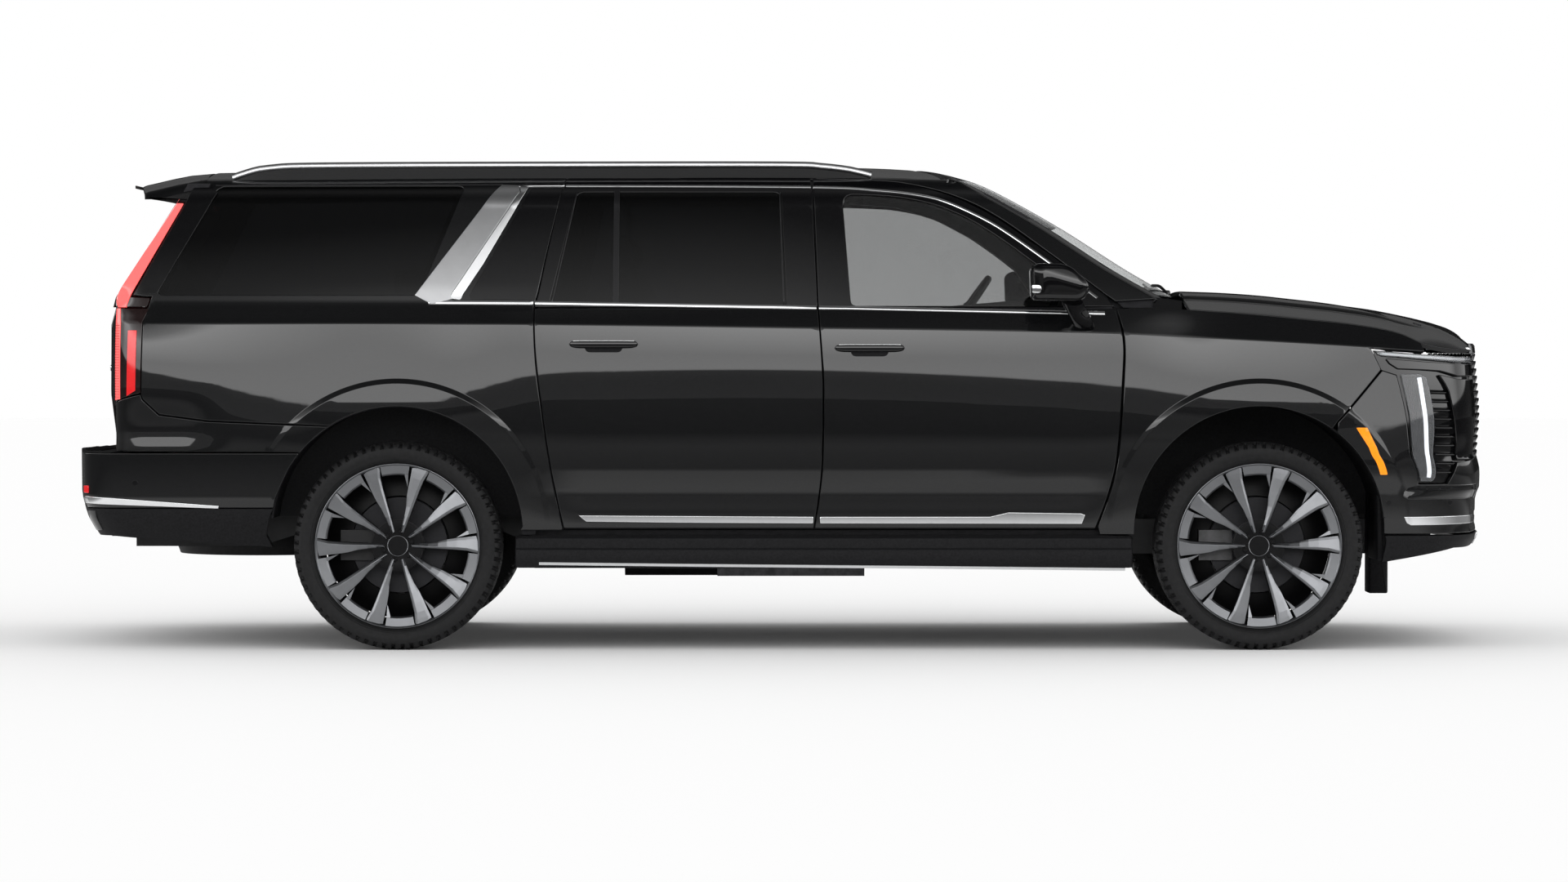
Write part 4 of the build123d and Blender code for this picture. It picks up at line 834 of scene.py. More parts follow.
QUARTER_GLASS = rounded([(-2.225, 1.838), (-2.262, 1.8), (-2.462, 1.404), (-1.425, 1.404), (-1.25, 1.838)],
                        [0.02, 0.06, 0.03, 0.03, 0.03])
quarter = [(-0.857, 0.47)] + C_LINE[::-1] + [(-0.951, 1.41), (-0.845, DOOR_TOP)]
rear_edge = [(-2.255, 0.904), (-2.447, 0.929), (-2.512, 0.99), (-2.519, 1.012), (-2.514, 1.296), (-2.486, 1.394),
             (-2.562, 1.4), (-2.366, 1.776), (-2.335, 1.842), (-2.32, DOOR_TOP)]
low_edge = arch(AXLES["rear"], 0, 122.4)
outline = (on_side(quarter) + [(-0.845, V_EDGE), (-2.3, V_EDGE)]
           + on_side(rear_edge[::-1] + low_edge[::-1] + [(-1.014, 0.47)]))
crease = crease_lines(np.arange(-2.52, -0.95, 0.03)) + [arch(AXLES["rear"], -10, 190, r) for r in FLARE_LINES]
skin = panel(side, outline, holes=[on_side(QUARTER_GLASS)],
             lines=[[(x, z - BELT) for x, z in line] for line in crease] + [[(-2.5, 0.0), (-0.97, 0.0)]])
pair("quarter_skin", skin, "root", [PAINT], replaces=["body_sides"])
pair("quarter_glass", pane(side, on_side(QUARTER_GLASS)), "root", [TINTED])


# Doors above the belt -----------------------------------------------------------------------------

DOOR_TOP_FRONT = spline([(0.134, 1.872), (0.4, 1.862), (0.53, 1.846), (0.7, 1.797), (0.87, 1.712), (1.068, 1.571),
                         (1.3, 1.396)], 0.03)
FRONT_FRAME = [(0.157, BELT)] + DOOR_TOP_FRONT + [(1.335, 1.354)]
FRONT_GLASS = rounded([(0.29, 1.362), (0.256, 1.806), (0.47, 1.796), (0.62, 1.765), (0.76, 1.706), (0.9, 1.615),
                       (1.09, 1.47), (1.2, 1.362)], [0.02, 0.05, 0.1, 0.1, 0.1, 0.1, 0.05, 0.03])
REAR_FRAME = [(-0.967, BELT), (-0.951, 1.41), (-0.845, 1.872), (0.13, 1.872), (0.157, BELT)]
REAR_GLASS = rounded([(-0.905, 1.362), (-0.8, 1.812), (0.008, 1.812), (0.03, 1.362)], [0.02, 0.03, 0.03, 0.02])
for end, outline, opening, sheet in (("front", FRONT_FRAME, FRONT_GLASS, CLEAR),
                                     ("rear", REAR_FRAME, REAR_GLASS, TINTED)):
    where = f"door_{end}_{{}}"
    skin = panel(house, on_house(outline), holes=[on_house(opening)], flange=0.02)
    pair(f"door_frame_{end}", skin, where, [GLOSS])
    pair(f"door_glass_{end}", pane(house, on_house(opening)), where, [sheet], replaces=[f"door_{end}_glass_{{}}"])


# Roof and windshield ------------------------------------------------------------------------------

def roof(x, y):
    """A point of the roof, from above."""
    x, y = np.asarray(x, float), np.asarray(y, float)
    return np.stack([x, y, roof_z(x, y)], axis=-1)


def header_x(y):
    """Where the roof meets the windshield, for a distance from the centre plane."""
    xs = np.linspace(0.42, 1.0, 400)
    radius = screen_at(roof_z(xs, y))[1]
    gap = xs - (SCREEN_AXIS + np.sqrt(radius**2 - y**2))
    return float(xs[np.argmax(gap > -0.004)])


def roof_edge_y(x):
    """Half the roof's width where its rounded edge begins."""
    return -float(house(np.array([x]), np.array([V_EDGE]))[0, 1])


edge_y = roof_edge_y(0.0)
front_edge = [(header_x(y) - 0.05, y) for y in np.linspace(-edge_y, edge_y, 25)]
flank = [(x, -roof_edge_y(x)) for x in np.arange(-2.3, 0.55, 0.05)]
skin = panel(roof, flank + front_edge + [(x, -y) for x, y in flank[::-1]], step=0.06,
             out=lambda p: np.tile([0, 0, 1.0], (len(p), 1)))
emit("roof_skin", skin, "root", [PAINT], ["roof_panel"])

pillar_zs = np.linspace(1.385, DOOR_TOP, 24)
pillar = [(*pillar_edge(z), z) for z in pillar_zs]
rail_low = [(-0.845, DOOR_TOP), (0.132, 1.876)] + DOOR_TOP_FRONT[1:] + [(1.335, 1.372)]
cantrail = ([(x, house_v(x, z) + 0.003) for x, z in rail_low] + [(x, house_v(x, z)) for x, _, z in pillar]
            + [(0.6, V_EDGE), (-0.845, V_EDGE)])
pair("roof_side", panel(house, cantrail), "root", [PAINT])

glass = [(-0.8, 1.402), (-0.618, DOOR_TOP), (0.618, DOOR_TOP), (0.8, 1.402)]
down = lambda p: np.stack([np.ones(len(p)), p[:, 1] * 0.2, np.ones(len(p))], axis=-1)
shape = on_screen(straight(glass, 0.04))
emit("windshield", pane(screen, shape, lift=0.0, step=0.05, out=down, gap=0.001), "root", [SCREEN_GLASS],
     ["fixed_glass"])
clear_part = rounded([(-0.77, 1.44), (-0.655, 1.677), (0.0, 1.694), (0.655, 1.677), (0.77, 1.44)],
                     [0.03, 0.03, 0.8, 0.03, 0.03])
frit = panel(screen, shape, holes=[on_screen(straight(clear_part, 0.04))], lift=-0.0055, flange=0.0, radius=0.001,
             gap=0.002, step=0.04, out=down)
emit("windshield_frit", frit, "root", [DARK])
post = [(y - 0.003, z) for _, y, z in pillar] + [(0.618, DOOR_TOP), (0.8, 1.402), (0.806, 1.385)]
pair("windshield_post", panel(screen, on_screen(post), out=down), "root", [GLOSS])
header = [(y, float(roof_z(header_x(y) - 0.046, y)) - 0.002) for y in np.linspace(-0.68, 0.68, 21)]
header += [(y, 1.87) for y in np.linspace(0.69, -0.69, 21)]
emit("windshield_header", panel(screen, on_screen(header), out=down), "root", [GLOSS])


# Hood skin ----------------------------------------------------------------------------------------

T_REAR, Q_SPAN = float(np.interp(PLAN_NOSE - 1.655, PLAN_X[:REARMOST], PLAN_T[:REARMOST])), 0.9


def hood_metric(t, v):
    """The hood with its second coordinate in about metres, so that the mesh is even."""
    return hood(t, v / Q_SPAN)


skin = panel(hood_metric, [(T_REAR, 0.0), (T_REAR, Q_SPAN), (0.1, Q_SPAN), (0.004, 0.5), (0.004, 0.0)], step=0.035,
             out=lambda p: np.stack([np.where(p[:, 0] > 2.6, 0.8, 0.1), p[:, 1] * 0.3, np.ones(len(p))], axis=-1))
pair("hood_skin", skin, "hood", [PAINT], replaces=["hood"])


# The CAD pieces kept behind the skins -------------------------------------------------------------

def skin_y(x, z):
    """The outer half width of the car's side at a place in side view."""
    v = np.linspace(0, V_EDGE, 120)
    stations = np.arange(-2.7, 1.75, 0.05)
    table = np.array([[-house(np.full(120, s), v)[:, 1], house(np.full(120, s), v)[:, 2]] for s in stations])
    low = -body(body_t(x, np.minimum(z, BELT)), np.minimum(z, BELT))[:, 1]
    high = np.array([np.interp(h, table[i, 1], table[i, 0]) for h, i in
                     zip(z, np.clip(np.searchsorted(stations, x), 0, len(stations) - 1))])
    return np.where(z < BELT, low, high)


def tucked(node, where, depth):
    """A copy of a CAD piece with its outer faces drawn in behind the skin, standing for the piece."""
    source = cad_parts[node].data
    flat = np.empty(len(source.vertices) * 3)
    source.vertices.foreach_get("co", flat)
    p = flat.reshape(-1, 3)
    limit = skin_y(p[:, 0], p[:, 2]) - depth
    p[:, 1] = np.clip(p[:, 1], -limit, limit)
    p[:, 2] = np.minimum(p[:, 2], np.where(np.abs(p[:, 1]) > 0.6, 1.895, 9))
    geo = Geo().add(p, [list(f.vertices) for f in source.polygons])
    emit(node + "_inner", geo, where, [TRIM], [node])


for hand in ("right", "left"):
    for end in AXLES:
        tucked(f"door_{end}_{hand}", f"door_{end}_{hand}", 0.016)
tucked("body_sides", "root", 0.02)


# Wheels -------------------------------------------------------------------------------------------

WHEEL_Y, WHEEL_Z = 0.8725, 0.41
SECTOR = 2 * pi / 10
SPOKE = [(0.052, 0.003, 0.003, 0.0895), (0.056, 0.007, 0.007, 0.0935), (0.085, 0.0085, 0.0085, 0.096),
         (0.12, 0.011, 0.011, 0.099), (0.16, 0.016, 0.0125, 0.1015), (0.195, 0.025, 0.0145, 0.1035),
         (0.235, 0.031, 0.0165, 0.1055), (0.275, 0.035, 0.02, 0.1075), (0.3, 0.0385, 0.027, 0.108),
         (0.3185, 0.04, 0.032, 0.108)]


def polar(r, side, out, turn):
    """A wheel point: along a spoke, across it, and outwards from the wheel's middle plane."""
    return (r * sin(turn) + side * cos(turn), -out, r * cos(turn) - side * sin(turn))


def spoke(turn):
    """One spoke: two machined facets meeting at a ridge, a narrow bevel, and dark flanks."""
    geo, points = Geo(), []
    for r, left, right, face in SPOKE:
        ridge = right - 0.0075 - 0.12 * left
        row = [(-left, face - 0.05), (-left, face - 0.008), (-left + 0.3 * left, face - 0.0052),
               (ridge - 0.001, face), (ridge + 0.0012, face), (right - 0.0022, face - 0.0045),
               (right, face - 0.0075), (right, face - 0.05)]
        points += [polar(r, s, o, turn) for s, o in row]
    for face in quads(len(SPOKE), len(row), around=False):
        geo.add([points[j] for j in face], [[0, 1, 2, 3]], 1 if face[0] % len(row) in (0, len(row) - 2) else 0)
    geo.add(points[:len(row)], [list(range(len(row)))], 0)
    return geo


def foot(turn):
    """The machined band from a spoke's outer end round the window, stopping short of the next spoke."""
    geo = Geo()
    start, stop = 0.03 / 0.302, SECTOR - 0.049 / 0.302
    profile = [(0.28, 0.06), (0.28, 0.0985), (0.2825, 0.1015), (0.287, 0.106), (0.319, 0.108)]
    rows = [[polar(r, 0, o, turn + a) for r, o in profile] for a in np.linspace(start, stop, 9)]
    for i in range(len(rows) - 1):
        for k in range(len(profile) - 1):
            geo.add([rows[i][k], rows[i][k + 1], rows[i + 1][k + 1], rows[i + 1][k]], [[0, 1, 2, 3]],
                    1 if k == 0 else 0)
    fin = [(0.236, stop + 0.02, 0.0985), (0.28, stop - 0.05, 0.101), (0.286, stop - 0.05, 0.105),
           (0.286, stop, 0.106)]
    top, low = ([polar(r, 0, o - drop, turn + a) for r, a, o in fin] for drop in (0, 0.03))
    geo.add(top, [[0, 1, 2, 3]], 0)
    for k in range(4):
        j = (k + 1) % 4
        geo.add([top[k], top[j], low[j], low[k]], [[0, 1, 2, 3]], 1)
    return geo


FACE, WELL_AND_SHADE, BRAKE, HAT = range(4)
TURNED = (  # The wheel's turned parts: material, facets round the wheel, closed or not, and (radius, offset) profile
    (FACE, 120, True, [(0.317, -0.106), (0.319, -0.1085), (0.3225, -0.112), (0.3255, -0.1195), (0.3238, -0.12),
                       (0.3238, -0.105)]),
    (WELL_AND_SHADE, 96, False, [(0.3238, -0.11), (0.318, -0.105), (0.308, -0.095), (0.299, -0.07), (0.296, 0.04),
                       (0.302, 0.113), (0.323, 0.119), (0.323, 0.11), (0.31, 0.1)]),
    (WELL_AND_SHADE, 64, False, [(0.0, -0.089), (0.04, -0.089), (0.041, -0.0885), (0.041, -0.0835), (0.07, -0.084),
                       (0.1, -0.088), (0.104, -0.087), (0.104, -0.06), (0.09, -0.04),
                       (0.088, -0.0275)]),
    (FACE, 64, True, [(0.039, -0.0893), (0.0402, -0.09), (0.0414, -0.0893), (0.0414, -0.087),
                      (0.039, -0.087)]),
    (WELL_AND_SHADE, 64, False, [(0.0985, -0.0886), (0.1, -0.0892), (0.1015, -0.0886)]),
    # A thin dark ring behind the brake disc, out to the barrel, is painted shade: it shuts off the view through the
    # wheel.
    (WELL_AND_SHADE, 72, True, [(0.2935, 0.062), (0.23, 0.05), (0.195, 0.0445), (0.195, 0.0425), (0.23, 0.048),
                      (0.2935, 0.06)]),
    (BRAKE, 96, True, [(0.1, 0.0125), (0.189, 0.0125), (0.19, 0.0135), (0.19, 0.0215), (0.182, 0.0225),
                       (0.182, 0.0325), (0.19, 0.0335), (0.19, 0.0415), (0.189, 0.0425), (0.1, 0.0425)]),
    (HAT, 64, False, [(0.04, -0.0275), (0.078, -0.0275), (0.082, -0.0235), (0.084, 0.0125), (0.1, 0.0125),
                      (0.1, 0.02)]))


def wheel():
    """A right-hand wheel about its own middle: spokes, rim, hub, brake disc and nuts."""
    geo = Geo()
    for index in range(10):
        geo.join(spoke((index + 0.5) * SECTOR)).join(foot((index + 0.5) * SECTOR))
    for mat, count, closed, profile in TURNED:
        geo.join(lathe(profile, (0, 0, 0), count, mat=mat, closed=closed))
    for index in range(6):
        a = index * pi / 3 + 0.3
        geo.join(lathe([(0.0, -0.093), (0.0075, -0.093), (0.0095, -0.0915), (0.0095, -0.084)],
                       (0.057 * cos(a), 0, 0.057 * sin(a)), 6, mat=WELL_AND_SHADE, closed=False))
    return geo


LUGS = 68


def tyre():
    """A right-hand tyre about its own middle, with shoulder lugs, grooves and a rim guard."""
    side = [(0.325, 0.112), (0.329, 0.12), (0.334, 0.129), (0.3385, 0.133), (0.341, 0.1335),
            (0.343, 0.137), (0.352, 0.1405), (0.365, 0.1424), (0.377, 0.142), (0.386, 0.14),
            (0.39, 0.1385), (0.396, 0.135), (0.402, 0.129), (0.406, 0.121), (0.408, 0.112),
            (0.4088, 0.1)]
    tread = [(0.4092, 0.09), (0.402, 0.088), (0.402, 0.078), (0.4094, 0.076), (0.4098, 0.04),
             (0.4025, 0.038), (0.4025, 0.028), (0.4099, 0.026), (0.4099, 0.0)]
    half = side + tread
    r, o = np.array(half + [(r, -o) for r, o in half[::-1][1:]]).T
    k = np.arange(LUGS * 6)
    depth = np.zeros((len(k), len(r)))
    shoulder = (r > 0.3865) & (np.abs(o) > 0.095)
    middle = (r > 0.405) & (np.abs(o) < 0.077) & (np.abs(o) > 0.02)
    depth[np.ix_(k % 6 < 2, shoulder)] = 0.0105
    depth[np.ix_(k % 12 == 3, middle)] = 0.005
    wall = np.abs(o) > 0.13
    inward, lean = np.where(wall, 0.55, 1.0), np.where(wall, 0.85, 0.25)
    radius = r[None, :] - depth * inward[None, :]
    offset = o[None, :] - np.sign(o)[None, :] * depth * lean[None, :]
    skew = (2 * pi * k / len(k))[:, None] + 0.1 * (o / 0.14)[None, :] * 0.5
    points = np.stack([radius * np.cos(skew), -offset, radius * np.sin(skew)], axis=-1).reshape(-1, 3)
    return Geo().add(points, quads(len(k), len(r), around=False, closed=True), 0)


WHEEL, TYRE = wheel(), tyre()
for end, x in AXLES.items():
    spot, where = (x, -WHEEL_Y, WHEEL_Z), f"wheel_{end}_{{}}"
    pair(f"wheel_{end}", WHEEL.moved(spot), where, [ALLOY, POCKET_AND_SHADE, SHADED_DISC, STEEL], [where], angle=22)
    pair(f"tyre_{end}", TYRE.moved(spot), where, [RUBBER], [f"tyre_{end}_{{}}"], angle=30)


# Bright trim, gloss panels, handles, mirrors and boards -------------------------------------------

def along(surface, path, step=0.02):
    """A path on a surface: its points and the surface's outward normals there."""
    flat = np.array(straight(path, step, closed=False))
    return surface(flat[:, 0], flat[:, 1]), normals_of(surface, flat[:, 0], flat[:, 1], outward)


def bead(surface, path, width, height, mat=0, sink=0.004, step=0.02):
    """A moulding with rounded shoulders, laid along a path on a surface."""
    points, normals = along(surface, path, step)
    w, h = width / 2, height
    profile = [(-w, -sink), (-w, h * 0.45), (-w * 0.86, h * 0.8), (-w * 0.5, h), (w * 0.5, h), (w * 0.86, h * 0.8),
               (w, h * 0.45), (w, -sink)]
    return sweep(points, profile, normals_up=normals, mat=mat)


def between(line, low, high):
    """The part of a path whose x lies between two values."""
    p = np.array(line, float)
    order = p[np.argsort(p[:, 0])]
    xs = [low] + [x for x in order[:, 0] if low < x < high] + [high]
    return [(x, float(np.interp(x, order[:, 0], order[:, 1]))) for x in xs]


BELT_TRIM = [(-1.385, 1.3725), (-0.958, 1.37), (0.151, 1.352), (0.28, 1.351), (0.957, 1.336), (1.318, 1.329)]
TOP_TRIM = spline([(-1.04, 1.8365), (-0.844, 1.839), (0.133, 1.834), (0.399, 1.821), (0.554, 1.803),
                   (0.668, 1.7745), (0.814, 1.708), (0.917, 1.6455), (1.068, 1.537), (1.262, 1.39)], 0.03)


def window_trim(low, high, top_low, top_high):
    """The bright lines under and over a window, each between two places along the car."""
    trim = bead(side, on_side(between(BELT_TRIM, low, high)), 0.0165, 0.005)
    return trim.join(bead(side, on_side(between(TOP_TRIM, top_low, top_high)), 0.012, 0.0045))


for end, cuts in (("rear", (-0.9625, 0.15, -0.848, 0.129)), ("front", (0.16, 1.29, 0.138, 1.26))):
    pair(f"window_trim_{end}", window_trim(*cuts), f"door_{end}_{{}}", [CHROME])
trim = window_trim(-1.385, -0.9705, -1.04, -0.854)
BLADE = [(-1.103, 1.84), (-1.035, 1.838), (-1.03, 1.812), (-1.296, 1.402), (-1.29, 1.385), (-1.372, 1.364),
         (-1.44, 1.4)]
BEVEL = [(-1.033, 1.8385), (-0.993, 1.8345), (-1.01, 1.808), (-1.24, 1.402), (-1.262, 1.381), (-1.3, 1.387),
         (-1.296, 1.402), (-1.028, 1.812)]
trim.join(panel(side, on_side(BLADE), mat=1, lift=0.006, radius=0.0015, flange=0.008, gap=0.0005, step=0.02))


def bevelled(x, v):
    """The blade's front bevel: it falls from the blade's face to the gloss panel."""
    base = side(x, v)
    z = base[..., 2]
    inner = np.interp(z, [1.387, 1.402, 1.812, 1.8385], [-1.3, -1.296, -1.028, -1.033])
    base[..., 1] += 0.0065 * np.clip((np.asarray(x, float) - inner) / 0.045, 0, 1.2)
    return base


trim.join(panel(bevelled, on_side(BEVEL), mat=0, lift=0.0062, radius=0.001, flange=0.004, gap=0.0003, step=0.015))
pair("quarter_blade", trim, "root", [CHROME, BRUSHED])

PILLAR_PANEL = rounded([(-0.984, 1.829), (-0.86, 1.829), (-0.962, 1.382), (-1.232, 1.385)],
                       [0.012, 0.003, 0.003, 0.022])
REAR_TRIM = [(-2.262, 1.833), (-2.238, 1.812), (-2.463, 1.406), (-2.548, 1.406), (-2.364, 1.77),
             (-2.332, 1.83)]
THIN = dict(radius=0.0012, flange=0.004, gap=0.0006, step=0.02)
gloss = panel(side, on_side(PILLAR_PANEL), lift=0.0022, **THIN)
gloss.join(panel(side, on_side(REAR_TRIM), lift=0.0022, **THIN))
gloss.join(bead(side, on_side([(-2.25, 1.842), (-1.1, 1.844)]), 0.008, 0.003, mat=1))
pair("quarter_gloss", gloss, "root", [GLOSS, SATIN])

DIVIDER = [(-0.655, 1.366), (-0.655, 1.82), (-0.632, 1.82), (-0.632, 1.366)]
gloss = panel(house, on_house(DIVIDER), lift=0.001, radius=0.001, flange=0.006, gap=0.0005, step=0.02)
for edge in ([(-0.898, 1.364), (-0.802, 1.812)], [(0.022, 1.362), (0.005, 1.812)]):
    gloss.join(bead(house, on_house(edge), 0.005, 0.002))
pair("rear_window_divider", gloss, "door_rear_{}", [SATIN])


def handle(x_low, x_high, z_low, z_high):
    """A pull handle: a recessed cup, a bar with tapering ends, and a bright line along its top."""
    middle = (x_low + x_high) / 2
    geo = Geo()
    cup = rounded([(middle - 0.072, z_low + 0.002), (middle + 0.072, z_low + 0.002), (middle + 0.078, z_high - 0.012),
                   (middle - 0.078, z_high - 0.012)], 0.02)
    geo.join(panel(body, on_body(cup), mat=1, lift=0.0008, radius=0.0006, flange=0.0, gap=0.0, step=0.012))
    xs = np.linspace(x_low, x_high, 41)
    share = np.abs(xs - middle) / (x_high - middle)
    path, normals = along(body, on_body([(x, z_high - 0.024) for x in xs]), 1.0)
    stand = 0.018 * (1 - np.clip(share, 0, 1)**6)
    path = path + normals * stand[:, None]
    size = np.sqrt(np.clip(1 - share**9, 0.02, 1))
    profile = [(0.015 * np.sign(cos(a)) * abs(cos(a))**0.7, 0.0095 * np.sign(sin(a)) * abs(sin(a))**0.8)
               for a in np.linspace(0, 2 * pi, 21)[:-1]]
    geo.join(sweep(path, profile, normals_up=normals, scale=size))
    line, up = path[2:-2] + normals[2:-2] * 0.0052, normals[2:-2]
    line[:, 2] += 0.0118
    geo.join(sweep(line, oval(0.0022, 0.0022, 8), normals_up=up, mat=2))
    return geo


for end, spot in (("front", (0.222, 0.498, 1.157, 1.216)), ("rear", (-0.825, -0.554, 1.173, 1.231))):
    pair(f"handle_{end}", handle(*spot), f"door_{end}_{{}}", [GLOSS, DARK, CHROME])

SILL_LINES = {"rear": [(-0.791, 0.532), (-0.4, 0.53), (0.138, 0.527), (0.138, 0.499), (-0.4, 0.502),
                       (-0.76, 0.506)],
              "front": [(0.164, 0.527), (0.835, 0.527), (0.909, 0.544), (1.196, 0.54), (1.212, 0.533),
                        (1.199, 0.497), (0.835, 0.498), (0.164, 0.499)]}
for end, line in SILL_LINES.items():
    trim = panel(body, on_body(line), lift=0.0055, flange=0.006, gap=0.0, step=0.014)
    pair(f"sill_trim_{end}", trim, f"door_{end}_{{}}", [CHROME])


def mirror():
    """The door mirror: a rounded head on a short arm, its glass, and a bright signal strip."""
    outline = rounded([(0.99, 1.378), (0.985, 1.506), (1.012, 1.524), (1.136, 1.524), (1.226, 1.436), (1.196, 1.374)],
                      [0.02, 0.02, 0.024, 0.045, 0.035, 0.03])
    loop = clean_loop(straight(outline), 0.003)
    centre_x, centre_z = 1.1, 1.452
    stations = [(1.052, 0.9), (1.056, 0.955), (1.066, 0.985), (1.085, 1.0), (1.15, 1.0), (1.185, 0.975),
                (1.208, 0.925), (1.222, 0.83), (1.229, 0.66)]
    points = [(centre_x + (x - centre_x) * s + 0.02 * (1 - s), -y, centre_z + (z - centre_z) * s)
              for y, s in stations for x, z in loop]
    geo = Geo().add(points, quads(len(stations), len(loop)) + ends(len(stations), len(loop)), 0)
    face = rounded([(-1.066, 1.396), (-1.17, 1.396), (-1.17, 1.496), (-1.066, 1.496)], 0.018)
    glass = [(0.9885 - 0.035 * (z - 1.396), y, z) for y, z in clean_loop(straight(face, 0.02))]
    geo.add(glass, [list(range(len(glass)))], 1)
    strip = [(0.992, -1.211, 1.424), (1.006, -1.2215, 1.424), (1.034, -1.2255, 1.4225), (1.056, -1.2272, 1.418),
             (1.084, -1.228, 1.409)]
    geo.join(sweep(strip, oval(0.0025, 0.0165, 16), mat=1, scale=[0.92, 1, 0.95, 0.7, 0.25]))
    arm = [(1.15, -1.13, 1.376), (1.165, -1.085, 1.35), (1.19, -1.04, 1.312), (1.204, -0.985, 1.285)]
    return geo.join(sweep(spline(arm, 0.01), oval(0.046, 0.019, 16), up=(0.3, 0.4, 1)))


pair("mirror", mirror(), "door_front_{}", [GLOSS, CHROME, LENS], ["mirror_{}"])


def board():
    """A running board: a stepped face, a ribbed tread on top and a bright line along its lower edge."""
    inner, middle = 0.862, 0.388
    profile = [(inner, 0.449), (0.978, 0.45), (0.984, 0.446), (0.996, 0.44), (0.998, 0.402), (1.009, 0.396),
               (1.0115, 0.39), (1.0115, 0.354), (1.003, 0.3245), (inner, 0.323)]
    stations = [(-1.04, 0.9), (-1.036, 0.97), (-1.025, 1.0), (-0.5, 1.0), (0.2, 1.0), (0.9, 1.0), (1.384, 1.0),
                (1.394, 0.97), (1.399, 0.9)]
    points = [(x, -(inner + (y - inner) * s), middle + (z - middle) * (0.5 + s / 2))
              for x, s in stations for y, z in profile]
    geo = Geo().add(points, quads(len(stations), len(profile)) + ends(len(stations), len(profile)), 0)
    for y in np.arange(0.88, 0.976, 0.012):
        geo.join(block((-0.98, -y - 0.004, 0.4485), (1.32, -y, 0.4515), 0.0, 1))
    path = [(-0.945, -1.006, 0.342), (-0.3, -1.0075, 0.335), (0.6, -1.0065, 0.327), (1.369, -1.004, 0.319)]
    line = [(-0.004, -0.006), (0.001, -0.006), (0.0052, 0.0045), (0.004, 0.006), (-0.004, 0.006)]
    return geo.join(sweep(straight(path, 0.1, closed=False), line, mat=2))


pair("running_board", board(), "root", [DARK, DARK, CHROME], ["running_boards"])


def rail():
    """A roof rail: a bar with a bevel along its lower edge, on a painted skirt that runs down to the roof."""
    line = spline([(-2.19, 1.875), (-2.13, 1.896), (-2.04, 1.914), (-1.8, 1.923), (-0.766, 1.9265),
                   (0.022, 1.9265), (0.17, 1.9205), (0.285, 1.907), (0.372, 1.886)], 0.03)
    path = [(x, -0.64, z) for x, z in line]
    half = [(0.007, -0.0145), (0.0158, -0.007), (0.0165, -0.005), (0.015, 0.007), (0.011, 0.012),
            (0.004, 0.0142)]
    geo = sweep(path, half + [(-y, z) for y, z in half[::-1]], mat=0)
    skirt = [(0.007, 0.0), (0.029, -0.07), (-0.029, -0.07), (-0.007, 0.0)]
    geo.join(sweep([(x, y, z - 0.012) for x, y, z in path], skirt, mat=1))
    return geo


pair("roof_rail", rail(), "root", [BRUSHED, PAINT], ["roof_rails"])


# Front end ----------------------------------------------------------------------------------------

def twin(points):
    """A line of (t, z) points on the car's other side, in the opposite order."""
    return [(-t, z) for t, z in points[::-1]]


def at_front(points):
    """Points given by distance from the centre plane and height, on the body's front."""
    return [(front_t(y, z) * (1 if y >= 0 else -1), z) for y, z in points]


def strips(line, profile, sink, mat=0, step=0.03, surface=body):
    """A profile swept along a line on a surface, sunk into it by a distance."""
    points, normals = along(surface, line, step)
    return sweep(points - normals * sink, profile, normals_up=normals, mat=mat)


GRILLE_Y = 0.7
ahead = lambda p: np.stack([np.full(len(p), 1.0), p[:, 1] * 1.6, np.zeros(len(p))], axis=-1)
LAMP_FOOT = [(2.69, 0.742), (2.649, 0.656), (2.531, 0.656), (2.443, 1.087), (2.384, 1.106)]
ARCH_LEG = arch(AXLES["front"], MEET_ANGLE, 0)
cover = (at_front([(0.0, 0.765), (0.35, 0.765), (0.66, 0.758)])
         + on_body(LAMP_FOOT + [(2.207, 0.899)] + ARCH_LEG[1:] + [(2.393, 0.455), (2.6, 0.455)])
         + at_front([(0.66, 0.455), (0.3, 0.455), (0.0, 0.455)]))
slot_right = (at_front([(0.66, 0.645)])
              + on_body([(2.7, 0.645), (2.52, 0.645), (2.49, 0.636), (2.476, 0.622), (2.476, 0.61),
                         (2.492, 0.6), (2.7, 0.599)])
              + at_front([(0.66, 0.599)]))
SLOTS = (slot_right, twin(slot_right))
INTAKE = at_front([(-0.52, 0.482), (0.52, 0.482), (0.56, 0.532), (-0.56, 0.532)])
flares = [on_body(arch(AXLES["front"], -10, 70, FLARE_R + r)) for r in (-0.001, 0.01, 0.021)]
flares += [[(-t, z) for t, z in line] for line in flares]
bumper = panel(body, cover + twin(cover)[1:-1], holes=[*SLOTS, INTAKE], lines=flares, out=ahead, step=0.028)


def ledge(t, z):
    """The bumper's shelf: it slopes in from the slot's lower edge to under the lamps."""
    base = body(t, z)
    n = normals_of(body, np.asarray(t, float), np.asarray(z, float), ahead)
    return base - n * (0.0015 + 0.0085 * np.clip((np.asarray(z, float) - 0.599) / 0.046, 0, 1))[..., None]


